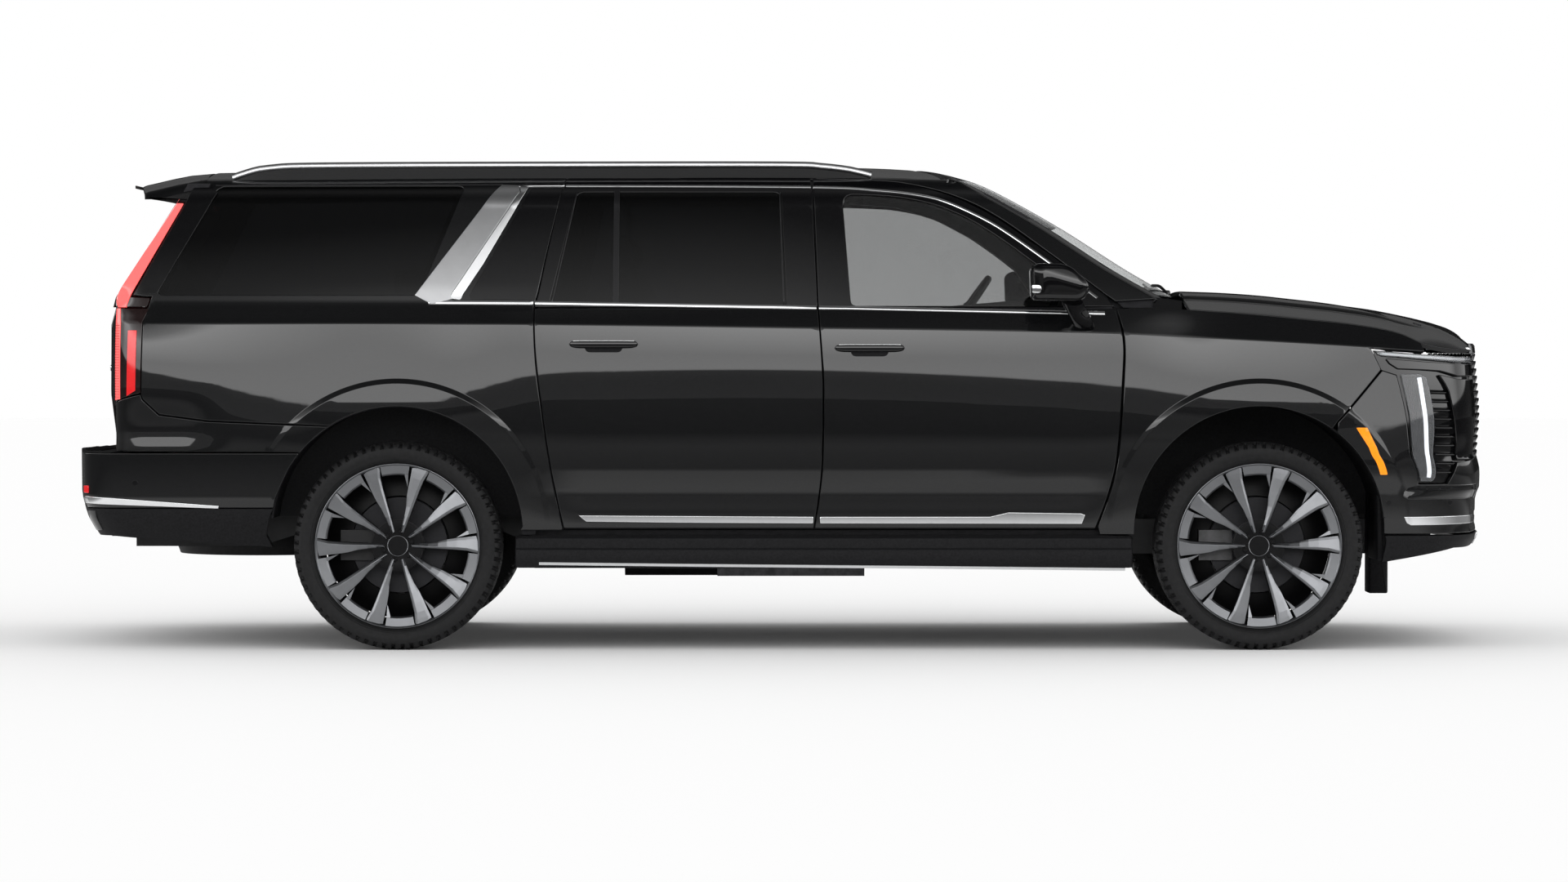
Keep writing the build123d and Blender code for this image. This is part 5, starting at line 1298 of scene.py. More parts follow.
for loop in SLOTS:
    bumper.join(panel(ledge, loop, flange=0.0, radius=0.0005, gap=-0.003, out=ahead, step=0.012))
bumper.join(panel(body, INTAKE, mat=2, lift=-0.03, flange=0.0, radius=0.001, gap=-0.006, out=ahead))
for z in (0.494, 0.507, 0.52):
    bar = at_front([(y, z) for y in np.linspace(-0.53, 0.53, 21)])
    bumper.join(strips(bar, [(-0.003, -0.01), (0.003, -0.01), (0.003, 0.006), (-0.003, 0.006)], 0.012, 1, 0.05))
valance = (at_front([(0.0, 0.452), (0.4, 0.452), (0.66, 0.452)])
           + on_body([(2.6, 0.452), (2.394, 0.452), (2.389, 0.34), (2.684, 0.394)])
           + at_front([(0.66, 0.394), (0.4, 0.394), (0.0, 0.394)]))
bumper.join(panel(body, valance + twin(valance)[1:-1], mat=2, out=ahead, flange=0.03))
plate = at_front([(-0.46, 0.4), (0.46, 0.4), (0.5, 0.448), (-0.5, 0.448)])
bumper.join(panel(body, plate, mat=3, lift=0.005, flange=0.006, out=ahead, gap=0.0))
flap = block((2.374, 0.48, 0.205), (2.452, 0.62, 0.62), 0.008, 4)
flap.join(block((2.374, 0.6, 0.35), (2.4, 0.925, 0.64), 0.004, 4))
bumper.join(flap.mirrored()).join(flap)
strip = (on_body([(2.472, 0.526), (2.484, 0.5), (2.5, 0.491), (2.7, 0.493)])
         + at_front([(0.66, 0.495), (0.6, 0.5), (0.6, 0.522), (0.66, 0.526)]) + on_body([(2.7, 0.527)]))
for loop in (strip, twin(strip)):
    bumper.join(panel(body, loop, mat=3, lift=0.004, flange=0.008, gap=0.0, out=ahead, step=0.014))
SENSOR = oval(0.0115, 0.0115, 20)
for x, z in ((2.412, 0.58), (2.662, 0.58)):
    spot = on_body([(x + dx, z + dz) for dx, dz in SENSOR])
    for loop in (spot, twin(spot)):
        bumper.join(panel(body, loop, mat=5, lift=0.0012, radius=0.001, flange=0.002, gap=0.0, out=ahead,
                          step=0.012))
emit("front_bumper_skin", bumper, "root", [PAINT, SATIN, DARK, CHROME, DARK, GLOSS], ["front_bumper"])

marker = panel(body, on_body([(2.28, 0.878), (2.324, 0.878), (2.362, 0.8), (2.388, 0.745), (2.405, 0.692),
                              (2.376, 0.692), (2.358, 0.745), (2.33, 0.8)]), lift=0.0025, radius=0.0015,
               flange=0.004, gap=0.0, step=0.014)
pair("side_marker", marker, "root", [AMBER])

# Grille: staggered rows of folded bars over a dark backing
grille = panel(body, at_front([(-GRILLE_Y, 0.745), (GRILLE_Y, 0.745), (GRILLE_Y, 1.164), (-GRILLE_Y, 1.164)]), mat=1,
               lift=-0.04, flange=0.0, radius=0.001, gap=-0.002, out=ahead, step=0.05)
PITCH, PERIOD = 0.03, 0.068
edge_t = front_t(GRILLE_Y - 0.006, 0.95)
COUNT = int(2 * edge_t / (PERIOD / 2))
ts = np.linspace(-edge_t, edge_t, COUNT + 1)
for row in range(14):
    fold = np.where((np.arange(COUNT + 1) + row) % 2 == 0, 0.0095, -0.0095)
    zs = 0.766 + row * PITCH + fold
    normals = normals_of(body, ts, zs, ahead)
    points = body(ts, zs) - normals * (0.006 - np.where(fold > 0, 0.007, 0.0))[:, None]
    grille.join(sweep(points, [(-0.0042, -0.012), (-0.003, 0.004), (0.003, 0.004), (0.0042, -0.012)],
                      normals_up=normals))
    for k in range(1, COUNT):
        if fold[k] < 0 and row:
            start = body(ts[k:k + 1], zs[k:k + 1])[0] - normals[k] * 0.006
            grille.join(sweep([start, start + np.array([0, 0, -0.011])],
                              [(-0.003, -0.01), (-0.002, 0.003), (0.002, 0.003), (0.003, -0.01)],
                              up=tuple(normals[k])))
FRAME = at_front([(0.0, 1.158), (0.35, 1.158), (GRILLE_Y - 0.004, 1.152), (GRILLE_Y - 0.004, 0.756), (0.35, 0.77),
                  (0.0, 0.77)])
line = np.array(clean_loop(straight(FRAME + twin(FRAME), 0.04), 0.01))
normals = normals_of(body, line[:, 0], line[:, 1], ahead)
grille.join(sweep(body(line[:, 0], line[:, 1]) - normals * 0.012,
                  [(-0.006, -0.02), (-0.006, 0.008), (0.006, 0.008), (0.006, -0.02)], closed=True,
                  normals_up=normals))
radar = at_front([(-0.072, 0.985), (0.072, 0.985), (0.08, 1.085), (0.0, 1.11), (-0.08, 1.085)])
grille.join(panel(body, radar, lift=0.006, flange=0.03, radius=0.006, gap=0.0, out=ahead, step=0.02))
emit("grille_mesh", grille, "root", [GLOSS, DARK], ["grille"])

# The bright bar along the hood's front edge
lip = strips(at_front([(y, 1.19) for y in np.linspace(-0.69, 0.69, 61)]),
             [(-0.0205, -0.006), (-0.0205, 0.003), (-0.017, 0.006), (0.01, 0.005), (0.0195, -0.001),
              (0.0205, -0.006)], 0)
emit("hood_lip", lip, "hood", [CHROME])

# Headlamps: a dark unit with a lit brow, a shelf, a bezel, and an upright lens with its light, ribs and fins
UNIT = (on_body([(2.347, 1.186), (2.56, 1.17), (2.7, 1.162)]) + at_front([(0.704, 1.16), (0.704, 0.744)])
        + on_body(LAMP_FOOT))
lamp = panel(body, UNIT, lift=-0.018, flange=0.0, radius=0.0005, gap=0.001, out=ahead, step=0.02)
brow_top = on_body([(2.351, 1.1835), (2.56, 1.1675), (2.7, 1.159)]) + at_front([(0.706, 1.157)])
brow_low = at_front([(0.706, 1.133)]) + on_body([(2.7, 1.136), (2.56, 1.146), (2.384, 1.16)])
lamp.join(panel(body, brow_top + brow_low, mat=1, radius=0.002, flange=0.012, gap=0.001, out=ahead, step=0.012))
lamp.join(strips([tuple(q) for q in np.array(brow_top) * 0.5 + np.array(brow_low[::-1]) * 0.5],
                 [(-0.0055, -0.003), (-0.0045, 0.003), (0.0045, 0.003), (0.0055, -0.003)], 0.007, 2))
SHELF = (on_body([(2.396, 1.153), (2.56, 1.14), (2.7, 1.131)]) + at_front([(0.706, 1.128), (0.706, 1.08)])
         + on_body([(2.7, 1.08), (2.62, 1.101), (2.54, 1.106), (2.447, 1.109), (2.414, 1.13)]))
lamp.join(panel(body, SHELF, lift=-0.003, flange=0.014, gap=0.001, out=ahead, step=0.014))
BEZEL = (on_body([(2.612, 1.09), (2.7, 1.07)]) + at_front([(0.706, 1.07), (0.706, 0.746)])
         + on_body([(2.694, 0.748), (2.69, 0.82), (2.676, 0.93), (2.656, 1.02), (2.64, 1.05)]))
lamp.join(panel(body, BEZEL, lift=-0.002, radius=0.004, flange=0.016, gap=0.001, out=ahead, step=0.014))
LENS_LINE = [(2.456, 1.09), (2.535, 1.092), (2.562, 1.075), (2.58, 1.0), (2.594, 0.86), (2.6, 0.72),
             (2.598, 0.68), (2.586, 0.664), (2.536, 0.664)]
lamp.join(panel(body, on_body(LENS_LINE), mat=1, radius=0.002, flange=0.014, gap=0.001, out=ahead, step=0.014))
LIT = [(2.533, 1.076), (2.548, 0.98), (2.56, 0.86), (2.568, 0.76), (2.572, 0.68)]
lamp.join(strips(on_body(LIT), [(-0.0085, -0.004), (-0.008, 0.002), (-0.005, 0.004), (0.005, 0.004),
                                (0.008, 0.002), (0.0085, -0.004)], 0.006, 3, 0.02))
for k in range(9):
    share = k / 9
    start = 2.466 + (2.524 - 2.466) * share
    line = [(start, 1.08), (start + 0.017 - 0.002 * share, 0.98), (start + 0.037 - 0.008 * share, 0.86),
            (start + 0.055 - 0.016 * share, 0.76), (start + 0.07 - 0.023 * share, 0.68)]
    lamp.join(strips(on_body(line), [(-0.0022, -0.003), (0.0, 0.003), (0.0022, -0.003)], 0.013, 4))
for k in range(10):
    z = 1.018 - k * 0.0352
    x_low = float(np.interp(z, [0.66, 0.72, 0.86, 1.0, 1.075], [2.604, 2.606, 2.6, 2.586, 2.568]))
    x_high = float(np.interp(z, [0.66, 0.74, 0.82, 0.93, 1.02, 1.05], [2.655, 2.688, 2.684, 2.67, 2.65, 2.634]))
    lamp.join(strips(on_body([(x_low, z), (x_high, z - 0.002)]),
                     [(-0.011, -0.004), (-0.0015, 0.009), (0.0015, 0.0095), (0.003, 0.004), (0.006, -0.004)],
                     0.014, 0, 0.01))
pair("headlamp", lamp, "root", [GLOSS, LENS, CHROME, LIGHT, STEEL], ["headlamps"])


# Rear end -----------------------------------------------------------------------------------------

def rear_plan():
    """The rear bumper's outline from above: arc length from its centre, distance ahead of it, and half width."""
    corner = 0.15
    v = np.linspace(0, 0.845, 200)
    back = [(0.15 * s**1.2, s) for s in v]
    centre = (back[-1][0] + corner, 0.845)
    arc = [(centre[0] - corner * cos(a), centre[1] + corner * sin(a)) for a in np.linspace(0.02, pi / 2, 60)]
    flank = [(x, 0.995 + 0.008 * min(1, (x - centre[0]) / 0.5)) for x in np.linspace(centre[0] + 0.015, 1.2, 60)]
    line = np.array(back + arc + flank)
    t = np.concatenate([[0], np.cumsum(np.hypot(*np.diff(line, axis=0).T))])
    return t, line[:, 0], line[:, 1]


REAR_T, REAR_X, REAR_Y = rear_plan()
REAR_REACH = [(0.372, -2.735, 0.915), (0.4, -2.768, 0.925), (0.45, -2.826, 0.95), (0.52, -2.862, 0.984),
              (0.6, -2.881, 1.003), (0.779, -2.8825, 1.008)]


def stern(t, z):
    """A point of the rear bumper: along its outline from the centre plane, and its height."""
    t, z = np.asarray(t, float), np.asarray(z, float)
    reach = np.array(REAR_REACH)
    back, half = np.interp(z, reach[:, 0], reach[:, 1]), np.interp(z, reach[:, 0], reach[:, 2])
    share = np.interp(np.abs(t), REAR_T, REAR_Y)
    x = back + np.interp(np.abs(t), REAR_T, REAR_X)
    return np.stack([x, -half * share * np.where(t < 0, -1, 1), z], axis=-1)


def at_stern(points):
    """Side-view points of the rear bumper's flank, in its own coordinates."""
    reach = np.array(REAR_REACH)
    return [(float(np.interp(x - np.interp(z, reach[:, 0], reach[:, 1]), REAR_X, REAR_T)), z) for x, z in points]


behind = lambda p: np.stack([np.where(p[:, 0] < -2.6, -1.0, 0.0), p[:, 1] * 1.4, np.zeros(len(p))], axis=-1)
TOP_Z = 0.7775
upper = at_stern([(-1.89, TOP_Z), (-1.93, 0.72), (-1.968, 0.64), (-1.993, 0.56)])
stern_skin = panel(stern, upper + twin(upper), out=behind, step=0.03, gap=0.001)
lower = (at_stern([(-1.993, 0.558), (-2.0, 0.4), (-2.498, 0.434), (-2.64, 0.446)])
         + [(0.9, 0.446), (0.4, 0.44), (0.115, 0.44)])
lower = lower + [(0.11, 0.5), (-0.11, 0.5)] + twin(lower)
stern_skin.join(panel(stern, lower, mat=1, out=behind, step=0.03, gap=0.001))
trim_line = (at_stern([(-2.21, 0.5705), (-2.21, 0.558), (-2.64, 0.574)])
             + [(0.93, 0.578), (0.8, 0.578), (0.8, 0.606), (0.93, 0.606)] + at_stern([(-2.64, 0.602)]))
# Red reflectors on the bumper's flanks; their glow from the red lens material is painted light.
red = [(0.8, 0.62), (0.945, 0.618), (0.945, 0.648), (0.8, 0.644)]
tip = [(0.72, 0.462), (0.96, 0.47), (0.97, 0.55), (0.7, 0.55)]
spot_t = at_stern([(-2.54, 0.66)])[0][0]
spot = [(spot_t + dt, 0.66 + dz) for dt, dz in SENSOR]
for sided in (list, twin):
    for loop, mat, lift, radius, flange, step in (
            (trim_line, 2, 0.0045, 0.003, 0.006, 0.014), (red, 3, 0.0035, 0.002, 0.005, 0.014),
            (tip, 4, 0.003, 0.003, 0.005, 0.02), (spot, 4, 0.0012, 0.001, 0.002, 0.012)):
        stern_skin.join(panel(stern, sided(loop), mat=mat, lift=lift, radius=radius, flange=flange, gap=0.0,
                              out=behind, step=step))
STEP_COUNT = 69
edge = stern(np.linspace(-1.02, 1.02, STEP_COUNT), np.full(STEP_COUNT, TOP_Z))
back = np.stack([np.full(STEP_COUNT, -2.64), edge[:, 1] * 0.99, np.full(STEP_COUNT, TOP_Z + 0.0012)], axis=-1)
stern_skin.add(np.concatenate([edge + [0, 0, 0.0012], back]), quads(2, STEP_COUNT, around=False), 1)
for x in np.arange(-2.85, -2.72, 0.02):
    half = min(0.6, ((x + 2.8685) / 0.15) ** (1 / 1.2))
    stern_skin.join(block((x, -half, TOP_Z), (x + 0.008, half, TOP_Z + 0.004), 0.0, 1))
emit("rear_bumper_skin", stern_skin, "root", [PAINT, DARK, CHROME, RED, GLOSS], ["rear_bumper"])


def tail_t(y):
    """The place along the lower body's outline of a point of its rear face."""
    last = int(np.argmax(PLAN_X > 5.45))
    return float(np.interp(-y, -PLAN_Y[last:], PLAN_T[last:]))


LAMP_IN = 0.803
t_in = tail_t(LAMP_IN)
t_out = lambda x, z: on_body([(x, z)])[0][0]
wing = (on_body(arch(AXLES["rear"], 140.8, 122.6) + [(-2.255, 0.902), (-2.447, 0.927), (-2.512, 0.988),
                                                     (-2.519, 1.01)]) + [(t_in, 0.958), (t_in, 0.785)])
round_rear = lambda p: np.stack([np.where(p[:, 0] < -2.5, p[:, 0] + 2.5, 0.0) * 8, p[:, 1], np.zeros(len(p))],
                                axis=-1)
arch_lines = [on_body(arch(AXLES["rear"], 100, 190, r)) for r in FLARE_LINES]
skin = panel(body, wing, lines=arch_lines, out=round_rear, gap=0.001)
pair("rear_wing", skin, "root", [PAINT])

# Tail lamps: a wide unit in the quarter and a strip up the pillar
unit = (on_body([(-2.519, 1.014), (-2.514, 1.296), (-2.488, 1.35)]) + [(t_in, 1.35), (t_in, 0.962)])
lamp = panel(body, unit, mat=0, out=round_rear, radius=0.002, flange=0.012, gap=0.001, step=0.02)
t_a, t_b = t_out(-2.606, 1.2), t_out(-2.629, 1.2) + 0.026
strip = [(t_a, 0.99), (t_a, 1.29), (t_a + 0.008, 1.349), (t_b, 1.349), (t_b + 0.008, 1.29), (t_b + 0.008, 0.984)]
lamp.join(panel(body, strip, mat=1, lift=0.0025, radius=0.001, flange=0.003, gap=0.0, out=round_rear, step=0.012))
bar = [(t_out(-2.536, 1.2), 1.262), (t_out(-2.572, 1.2), 1.262), (t_out(-2.576, 1.1), 1.002),
       (t_out(-2.54, 1.1), 1.024)]
lamp.join(panel(body, bar[::-1], mat=2, lift=0.0022, radius=0.001, flange=0.003, gap=0.0, out=round_rear,
                step=0.012))
for k in range(28):
    z = 0.998 + k * 0.0105
    lamp.join(strips([(t_a + 0.004, z), (t_b + 0.004, z)], [(-0.0012, 0), (0, 0.0012), (0.0012, 0)], -0.0026, 3,
                     0.006))
line_t = t_b + 0.014
lamp.join(strips([(line_t, 0.99), (line_t, 1.345)],
                 [(-0.003, -0.002), (-0.002, 0.0015), (0.002, 0.0015), (0.003, -0.002)], -0.002, 4))


def slope_x(z):
    """Where the pillar's side meets the sloping rear, at a height above the belt."""
    return np.interp(z, [1.34, 1.395, 1.772, 1.862], [-2.64, -2.628, -2.398, -2.343])


def gate_half(z):
    """Half the liftgate's width beside its glass, at a height."""
    return np.interp(z, [1.352, 1.79], [0.785, 0.672])


def slope_point(z):
    """A point of the pillar's rear edge, at a height."""
    x = float(slope_x(z))
    return side(np.array([x]), np.array([on_side([(0, z)])[0][1] if z < BELT else house_v(x, z)]))[0]


side_zs = np.linspace(1.354, 1.77, 30)
loop = [(float(slope_x(z)), z) for z in side_zs]
loop += [(float(np.interp(z, [1.352, 1.395, 1.772], [-2.588, -2.572, -2.371])), z) for z in side_zs[::-1]]
lamp.join(panel(side, on_side(loop), mat=1, radius=0.0015, flange=0.006, gap=0.0005, step=0.014))
patch = [(-2.49, 1.39), (-2.5, 1.356), (-2.586, 1.356), (-2.57, 1.394)]
lamp.join(panel(side, on_side(patch), radius=0.001, flange=0.006, gap=0.0005, step=0.014))
EDGE_COUNT = 24
outer = np.array([slope_point(z) for z in np.linspace(1.354, 1.786, EDGE_COUNT)])
inner = outer.copy()
inner[:, 1] = -(gate_half(outer[:, 2]) + 0.012)
inner[:, 0] -= 0.014
bands = [outer, outer * 0.72 + inner * 0.28, outer * 0.6 + inner * 0.4, inner]
for first, second, mat in zip(bands, bands[1:], (1, 4, 0)):
    lamp.add(np.concatenate([first, second]), quads(2, EDGE_COUNT, around=False), mat)
pair("tail_lamp", lamp, "root", [DEEP_RED, RED_LIT, RED, DEEP_RED, LENS], ["tail_lamps"])

# Liftgate, its glass and the spoiler
GATE_AXIS = 3.0
GATE_LINE = [(0.806, -2.69), (1.01, -2.716), (1.285, -2.714), (1.395, -2.684), (1.79, -2.4375)]


def gate(y, z):
    """A point of the liftgate's outer face."""
    y, z = np.asarray(y, float), np.asarray(z, float)
    line = np.array(GATE_LINE)
    radius = GATE_AXIS - np.interp(z, line[:, 0], line[:, 1])
    return np.stack([GATE_AXIS - np.sqrt(radius**2 - y**2), y, z], axis=-1)


rearward = lambda p: np.tile([-1.0, 0, 0.1], (len(p), 1))
lower = [(-0.78, 0.812), (0.78, 0.812), (0.781, 1.34), (0.771, 1.391), (-0.771, 1.391), (-0.781, 1.34)]
recess = rounded([(-0.278, 0.902), (0.278, 0.902), (0.262, 1.076), (-0.262, 1.076)], 0.015)
lines = [[(-0.78, z), (0.78, z)] for z in (1.278, 1.285, 1.292)]
leaf = panel(gate, lower, holes=[recess], lines=lines, out=rearward, flange=0.03, radius=0.004, step=0.04)
leaf.join(panel(gate, recess, mat=1, lift=-0.022, flange=0.0, radius=0.001, gap=-0.004, out=rearward, step=0.04))
frame_loop = [(-0.768, 1.397), (0.768, 1.397), (0.669, 1.788), (-0.669, 1.788)]
GATE_GLASS = rounded([(-0.69, 1.412), (0.69, 1.412), (0.607, 1.768), (-0.607, 1.768)], 0.025)
leaf.join(panel(gate, frame_loop, holes=[GATE_GLASS], mat=2, out=rearward, flange=0.022, step=0.04))
leaf.join(panel(gate, [(-0.6, 1.1), (0.6, 1.1), (0.615, 1.124), (-0.615, 1.124)], mat=3, lift=0.006,
                radius=0.003, flange=0.008, gap=0.0, out=rearward, step=0.03))
emit("liftgate_skin", leaf, "liftgate", [PAINT, DARK, GLOSS, CHROME], ["liftgate"])
emit("liftgate_pane", pane(gate, GATE_GLASS, out=rearward, step=0.06), "liftgate", [TINTED], ["liftgate_glass"])

WING = [(-2.325, 1.91), (-2.428, 1.902), (-2.496, 1.889), (-2.564, 1.873), (-2.612, 1.862),
        (-2.627, 1.856), (-2.6295, 1.85), (-2.624, 1.84), (-2.606, 1.813), (-2.595, 1.806),
        (-2.52, 1.798), (-2.445, 1.788), (-2.41, 1.786), (-2.33, 1.8)]


def wing_row(y):
    """The spoiler's outline at a distance from the centre plane, lower and drawn in towards its end."""
    drop = (1.905 - 1.85) * (y / 0.742)**2
    turn = max(0.0, (y - 0.655) / 0.072)
    row = []
    for x, z in WING:
        zz = z - drop * (1.0 if z > 1.835 else 0.35)
        zz = max(1.786, zz - 0.03 * turn**2.2 * (1.0 if z > 1.835 else 0.0))
        row.append((x + 0.14 * y**1.15 * (1 if x < -2.4 else 0.4), -y, zz))
    return row


rows = [wing_row(y) for y in np.concatenate([np.linspace(0, 0.6, 13), [0.64, 0.67, 0.695, 0.712, 0.722, 0.727]])]
half_wing = Geo().add([p for row in rows for p in row],
                      quads(len(rows), len(WING)) + ends(len(rows), len(WING))[1:], 0)
both = Geo().join(half_wing).join(half_wing.mirrored())
bar = [(-2.63, y, 1.85) for y in np.linspace(-0.24, 0.24, 9)]
both.join(sweep(bar, [(-0.003, -0.006), (0.0015, -0.006), (0.0015, 0.006), (-0.003, 0.006)], mat=1))
emit("spoiler", both, "liftgate", [PAINT, DEEP_RED])


# Cabin --------------------------------------------------------------------------------------------

SEAT_ROWS = {"front": 0.27, "second": -0.48}
SEAT_Y, SEAT_WIDTH = 0.4, 0.54
BENCH_X, BENCH_STEP = -1.4, 0.405
SOFT_EDGE = 0.024


def cushion(size, crown, seams=(), depth=0.01):
    """A padded form about its own middle: a box that swells between its edges, with sewn channels on top."""
    half = np.array(size) / 2
    counts = [max(6, int(s / 0.018)) for s in size]
    corners, points, faces = {}, [], []

    def corner(unit):
        """The index of a point of the unit box, pushed out where it is free and drawn in along the edges."""
        if unit not in corners:
            p = np.array(unit) * half
            for axis, u in enumerate(unit):
                if abs(u) == 1:
                    a, b = (unit[k] for k in range(3) if k != axis)
                    free = (1 - a * a) * (1 - b * b)
                    p[axis] += u * (crown[axis] * free - SOFT_EDGE * max(a * a, b * b) ** 4)
            if unit[2] == 1:
                p[2] -= sum(depth * np.exp(-((p[1] - y) / 0.008) ** 2) for y in seams)
                p[2] -= sum(0.6 * depth * np.exp(-((p[0] - x) / 0.008) ** 2)
                            for x in (-0.34 * size[0], 0.34 * size[0]))
            corners[unit] = len(points)
            points.append(tuple(p))
        return corners[unit]

    for axis in range(3):
        first, second = (k for k in range(3) if k != axis)
        for sign in (-1, 1):
            def at(i, j):
                """The index of a point of one side's grid."""
                unit = [0, 0, 0]
                unit[axis], unit[first], unit[second] = sign, 2 * i / counts[first] - 1, 2 * j / counts[second] - 1
                return corner(tuple(unit))

            for i in range(counts[first]):
                for j in range(counts[second]):
                    face = [at(i, j), at(i + 1, j), at(i + 1, j + 1), at(i, j + 1)]
                    faces.append(face if sign * (-1) ** axis > 0 else face[::-1])
    return Geo().add(points, faces, 0)


def pad(name, size, at, degrees, crown, seams=()):
    """A leather pad fixed in the car."""
    piece = emit(name, cushion(size, crown, seams).moved(at, degrees), "root", [LEATHER],
                 angle=60)


shells = Geo()
for row, x in SEAT_ROWS.items():
    for hand, y in (("left", SEAT_Y), ("right", -SEAT_Y)):
        name, seams = f"seat_{row}_{hand}", (-0.085, 0.085)
        pad(name + "_base", (0.5, SEAT_WIDTH - 0.02, 0.125), (x + 0.165, y, 0.88), -4, (0.012, 0.012, 0.022),
            seams)
        pad(name + "_back", (0.62, SEAT_WIDTH - 0.03, 0.115), (x - 0.047, y, 1.195), 74, (0.01, 0.012, 0.018),
            seams)
        pad(name + "_rest", (0.125, 0.25, 0.08), (x - 0.147, y, 1.577), 80, (0.01, 0.01, 0.012))
        for post in (-0.055, 0.055):
            shells.join(sweep([(x - 0.143, y + post, 1.45), (x - 0.148, y + post, 1.56)], circle(0.006, 10), mat=1))
        shells.join(slab(rounded([(x - 0.055, 0.6), (x + 0.385, 0.6), (x + 0.41, 0.815), (x - 0.07, 0.815)],
                                 0.03), y - 0.245, y + 0.245, 0.01))
        shells.join(slab(rounded([(x - 0.104, 0.9), (x - 0.07, 0.9), (x - 0.162, 1.485), (x - 0.205, 1.485)],
                                 0.015), y - 0.235, y + 0.235, 0.012))
for hand, y in (("left", BENCH_STEP), ("middle", 0.0), ("right", -BENCH_STEP)):
    pad(f"bench_{hand}_base", (0.47, 0.385, 0.11), (BENCH_X + 0.165, y, 0.925), -3, (0.01, 0.01, 0.02),
        (-0.06, 0.06))
    pad(f"bench_{hand}_back", (0.56, 0.385, 0.095), (BENCH_X - 0.028, y, 1.23), 75, (0.01, 0.01, 0.016),
        (-0.06, 0.06))
shells.join(slab(rounded([(BENCH_X - 0.055, 0.755), (BENCH_X + 0.385, 0.755), (BENCH_X + 0.4, 0.865),
                          (BENCH_X - 0.07, 0.865)], 0.02), -0.585, 0.585, 0.01))
shells.join(slab(rounded([(BENCH_X - 0.098, 0.91), (BENCH_X - 0.066, 0.91), (BENCH_X - 0.122, 1.5),
                          (BENCH_X - 0.152, 1.5)], 0.014), -0.585, 0.585, 0.012))
emit("seat_shells", shells, "root", [TRIM, STEEL], ["seats"])


WHEEL_SEAT, WHEEL_LEAN = (0.78, 0.4, 1.335), -55


def dashboard():
    """The dash with its display, air vents and console; materials are trim, gloss, brushed and leather."""
    face = rounded([(1.33, 0.86), (1.33, 1.322), (1.18, 1.298), (1.062, 1.24), (1.022, 1.12), (1.09, 0.98),
                    (1.16, 0.86)], 0.024)
    geo = slab(face, -0.815, 0.815, 0.012)
    geo.join(block((-0.006, -0.79, -0.012), (0.006, 0.79, 0.012), 0.003, 2).moved((1.038, 0.0, 1.178), -16))
    geo.join(block((-0.007, -0.08, -0.062), (0.007, 0.64, 0.062), 0.005, 1).moved((1.066, 0.0, 1.282), -14))
    for y in (-0.7, -0.33, 0.12, 0.7):
        for step in range(5):
            z = 1.196 + 0.009 * step
            geo.join(block((1.026 + 0.003 * step, y - 0.07, z), (1.06, y + 0.07, z + 0.004), 0.001, 1))
    geo.join(slab(rounded([(0.382, 0.59), (1.15, 0.59), (1.1, 0.895), (0.382, 0.895)], [0.01, 0.01, 0.05, 0.03]),
                  -0.118, 0.118, 0.012))
    geo.join(cushion((0.33, 0.22, 0.04), (0.004, 0.004, 0.008), (0.0,), 0.004).moved((0.56, 0.0, 0.902)))
    for y in (-0.05, 0.05):
        geo.join(lathe([(0.03, 0.0), (0.04, 0.0), (0.042, 0.004), (0.038, 0.006), (0.034, 0.004)],
                       (0.85, y, 0.893), 40, "z", 2))
    geo.join(block((0.925, -0.07, 0.892), (1.06, 0.07, 0.899), 0.003, 1))
    axis = np.array([sin(radians(55)), 0, -cos(radians(55))])
    wheel = np.array(WHEEL_SEAT)
    geo.join(sweep([wheel + axis * d for d in (0.034, 0.36)], circle(0.031, 24)))
    geo.join(sweep([wheel + axis * d for d in (0.06, 0.07, 0.15, 0.175)], circle(0.052, 24),
                   scale=[0.85, 1, 1, 0.8]))
    for side in (-1, 1):
        start = wheel + axis * 0.085
        stalk = [start, start + np.array([0, side * 0.09, 0.01]), start + np.array([-0.012, side * 0.165, 0.022])]
        geo.join(sweep(stalk, circle(0.0065, 12)))
    return geo


emit("dash", dashboard(), "root", [TRIM, GLOSS, BRUSHED, LEATHER], ["dashboard"])


def steering_wheel():
    """The wheel in its own plane: a leather rim, a padded hub and three spokes with bright edges."""
    geo = sweep([(x, y, 0.0) for x, y in oval(0.18, 0.18, 72)], oval(0.0145, 0.015, 14), closed=True)
    geo.join(lathe([(0.0, 0.024), (0.04, 0.023), (0.06, 0.017), (0.069, 0.004), (0.066, -0.02), (0.05, -0.025),
                    (0.0, -0.025)], (0, 0, 0), 48, "z", 1, closed=False))
    geo.join(lathe([(0.0115, 0.0245), (0.0165, 0.0255), (0.0175, 0.0235)], (0, 0, 0), 32, "z", 2, closed=False))
    for a in (0, pi, 1.5 * pi):
        c, s = cos(a), sin(a)
        arm = block((0.055, -0.016, -0.006), (0.172, 0.016, 0.006), 0.004, 1)
        arm.join(block((0.07, -0.0175, -0.002), (0.16, 0.0175, 0.003), 0.001, 2))
        arm.points = [(x * c - y * s, x * s + y * c, z) for x, y, z in arm.points]
        geo.join(arm)
    return geo


emit("steering", steering_wheel().moved(WHEEL_SEAT, WHEEL_LEAN), "steering_wheel", [LEATHER, TRIM, BRUSHED],
     ["steering_wheel"])


# Door cards ---------------------------------------------------------------------------------------

